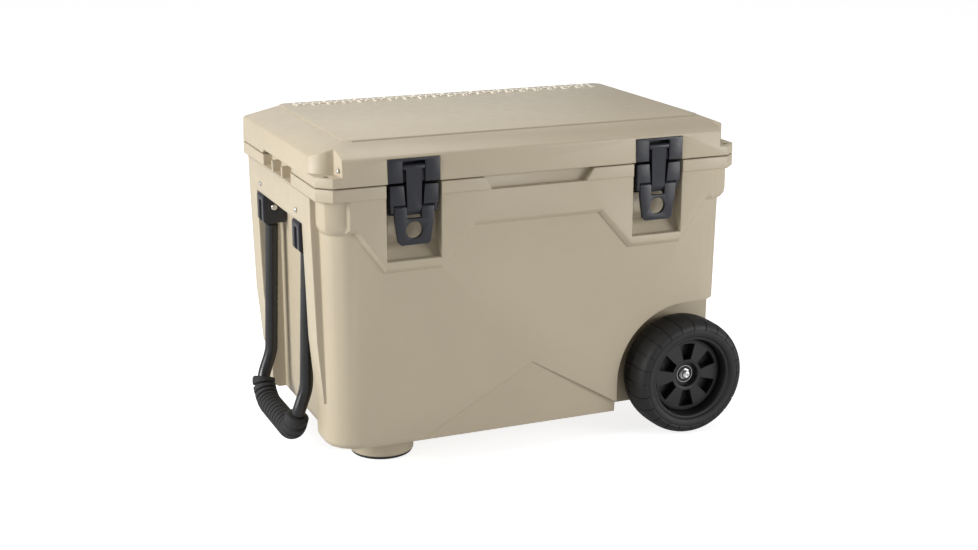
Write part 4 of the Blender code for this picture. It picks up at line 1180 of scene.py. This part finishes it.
@dataclass
class Latches:
    """Both draw latches: keeper, base, pull lever, draw link and pins."""

    def build(self) -> None:
        """Makes every latch piece."""
        for side in ("left", "right"):
            for piece in (
                Soft(f"latch_keeper_{side}", 0.0009, SLATE, Slot.SLATE, "lid"),
                Soft(f"latch_base_{side}", 0.0008, SLATE, Slot.SLATE, "chest"),
                Soft(f"latch_lever_{side}", 0.0008, SLATE, Slot.SLATE, f"lever_{side}"),
                Soft(f"latch_link_{side}", 0.0007, SLATE, Slot.SLATE, f"link_{side}"),
                Soft(f"lever_pin_{side}", 0.0003, STEEL, Slot.STEEL, "chest"),
                Soft(f"link_pin_{side}", 0.0002, STEEL, Slot.STEEL, f"lever_{side}"),
            ):
                piece.build()


@dataclass
class LidFittings:
    """Underside plate, seal, hinge rod, caps and the corner screws."""

    def build(self) -> None:
        """Makes every small lid piece."""
        for piece in (
            Soft("lid_liner", 0.0020, LINER, Slot.LINER, "lid"),
            Soft("lid_seal", 0.0002, RUBBER, Slot.RUBBER, "lid"),
            Soft("lid_foam", 0.0010, INSULATION, Slot.FOAM, "lid"),
            Soft("foam_core", 0.0010, INSULATION, Slot.FOAM, "chest"),
            Soft("hinge_rod", 0.0006, STEEL, Slot.STEEL, "chest"),
            Soft("hinge_cap_left", 0.0008, SLATE, Slot.SLATE, "chest"),
            Soft("hinge_cap_right", 0.0008, SLATE, Slot.SLATE, "chest"),
            Soft("lid_screw_left", 0.0003, STEEL, Slot.STEEL, "lid"),
            Soft("lid_screw_right", 0.0003, STEEL, Slot.STEEL, "lid"),
        ):
            piece.build()


# ---------------------------------------------------------------- studio


@dataclass
class Studio:
    """Pale floor, soft lights and the camera.

    Attributes:
        place: Camera position.
        forward: The way it looks.
        lens: Focal length on a 36 mm sensor.
        aim: The point that the lamps face.
    """

    place: Point = (-0.93085, -2.2370, 0.897)
    forward: Point = (0.3759, 0.8873, -0.2674)
    lens: float = 58.5
    aim: Point = (0.0, 0.0, 0.25)

    def floor(self) -> Object:
        """A wide pale floor that shows white and throws only a little light back."""
        deselect()
        bpy.ops.mesh.primitive_plane_add(size=80.0, location=(0.0, 0.0, -0.0005))
        obj = bpy.context.object
        obj.name = "studio_floor"
        mat = bpy.data.materials.new("pale_studio_floor")
        mat.use_nodes = True
        shader = mat.node_tree.nodes["Principled BSDF"]
        shader.inputs["Base Color"].default_value = (0.55, 0.55, 0.55, 1.0)
        shader.inputs["Roughness"].default_value = 0.9
        shader.inputs["Specular IOR Level"].default_value = 0.1
        shader.inputs["Emission Color"].default_value = (1.0, 1.0, 1.0, 1.0)
        nodes, links = mat.node_tree.nodes, mat.node_tree.links
        ray = nodes.new("ShaderNodeLightPath")
        glow = nodes.new("ShaderNodeMapRange")
        glow.inputs["To Min"].default_value = 0.15
        glow.inputs["To Max"].default_value = 0.80
        links.new(ray.outputs["Is Camera Ray"], glow.inputs["Value"])
        links.new(glow.outputs["Result"], shader.inputs["Emission Strength"])
        obj.data.materials.append(mat)
        return obj

    def lamp(self, name: str, place: Point, size: float, power: float) -> None:
        """An area light aimed at the chest.

        Args:
            name: The lamp's name.
            place: Where it stands.
            size: Side of its square.
            power: Watts.
        """
        data = bpy.data.lights.new(name, "AREA")
        data.size = size
        data.energy = power
        obj = bpy.data.objects.new(name, data)
        obj.location = place
        line = Vector(self.aim) - Vector(place)
        obj.rotation_euler = line.to_track_quat("-Z", "Y").to_euler()
        bpy.context.scene.collection.objects.link(obj)

    def build(self) -> None:
        """Makes the floor, the lights, the world and the camera."""
        self.floor()
        self.lamp("left_key", (-3.3, 0.0, 1.3), 1.5, 120.0)
        self.lamp("front_right_fill", (1.6, -1.7, 0.6), 1.0, 24.0)
        self.lamp("overhead", (0.2, 0.5, 3.0), 1.6, 26.0)
        self.lamp("rear_fill", (0.8, 3.4, 2.0), 2.5, 12.0)
        world = bpy.data.worlds.new("pale_world")
        world.use_nodes = True
        back = world.node_tree.nodes["Background"]
        back.inputs["Color"].default_value = (1.0, 1.0, 1.0, 1.0)
        back.inputs["Strength"].default_value = 0.32
        bpy.context.scene.world = world
        bpy.context.scene.view_settings.view_transform = "Standard"
        data = bpy.data.cameras.new("studio_camera")
        data.lens = self.lens
        data.sensor_width = 36.0
        camera = bpy.data.objects.new("studio_camera", data)
        camera.location = self.place
        camera.rotation_euler = Vector(self.forward).to_track_quat("-Z", "Y").to_euler()
        bpy.context.scene.collection.objects.link(camera)
        bpy.context.scene.camera = camera


def main() -> None:
    """Builds every sub-assembly in order."""
    logging.basicConfig(level=logging.INFO, format="%(name)s: %(message)s")
    Chest().build()
    Lid().build()
    Scale().build()
    LidFittings().build()
    Latches().build()
    TowHandle().build()
    Wheel().build()
    Feet().build()
    Drain().build()
    Studio().build()


if __name__ == "__main__":
    main()
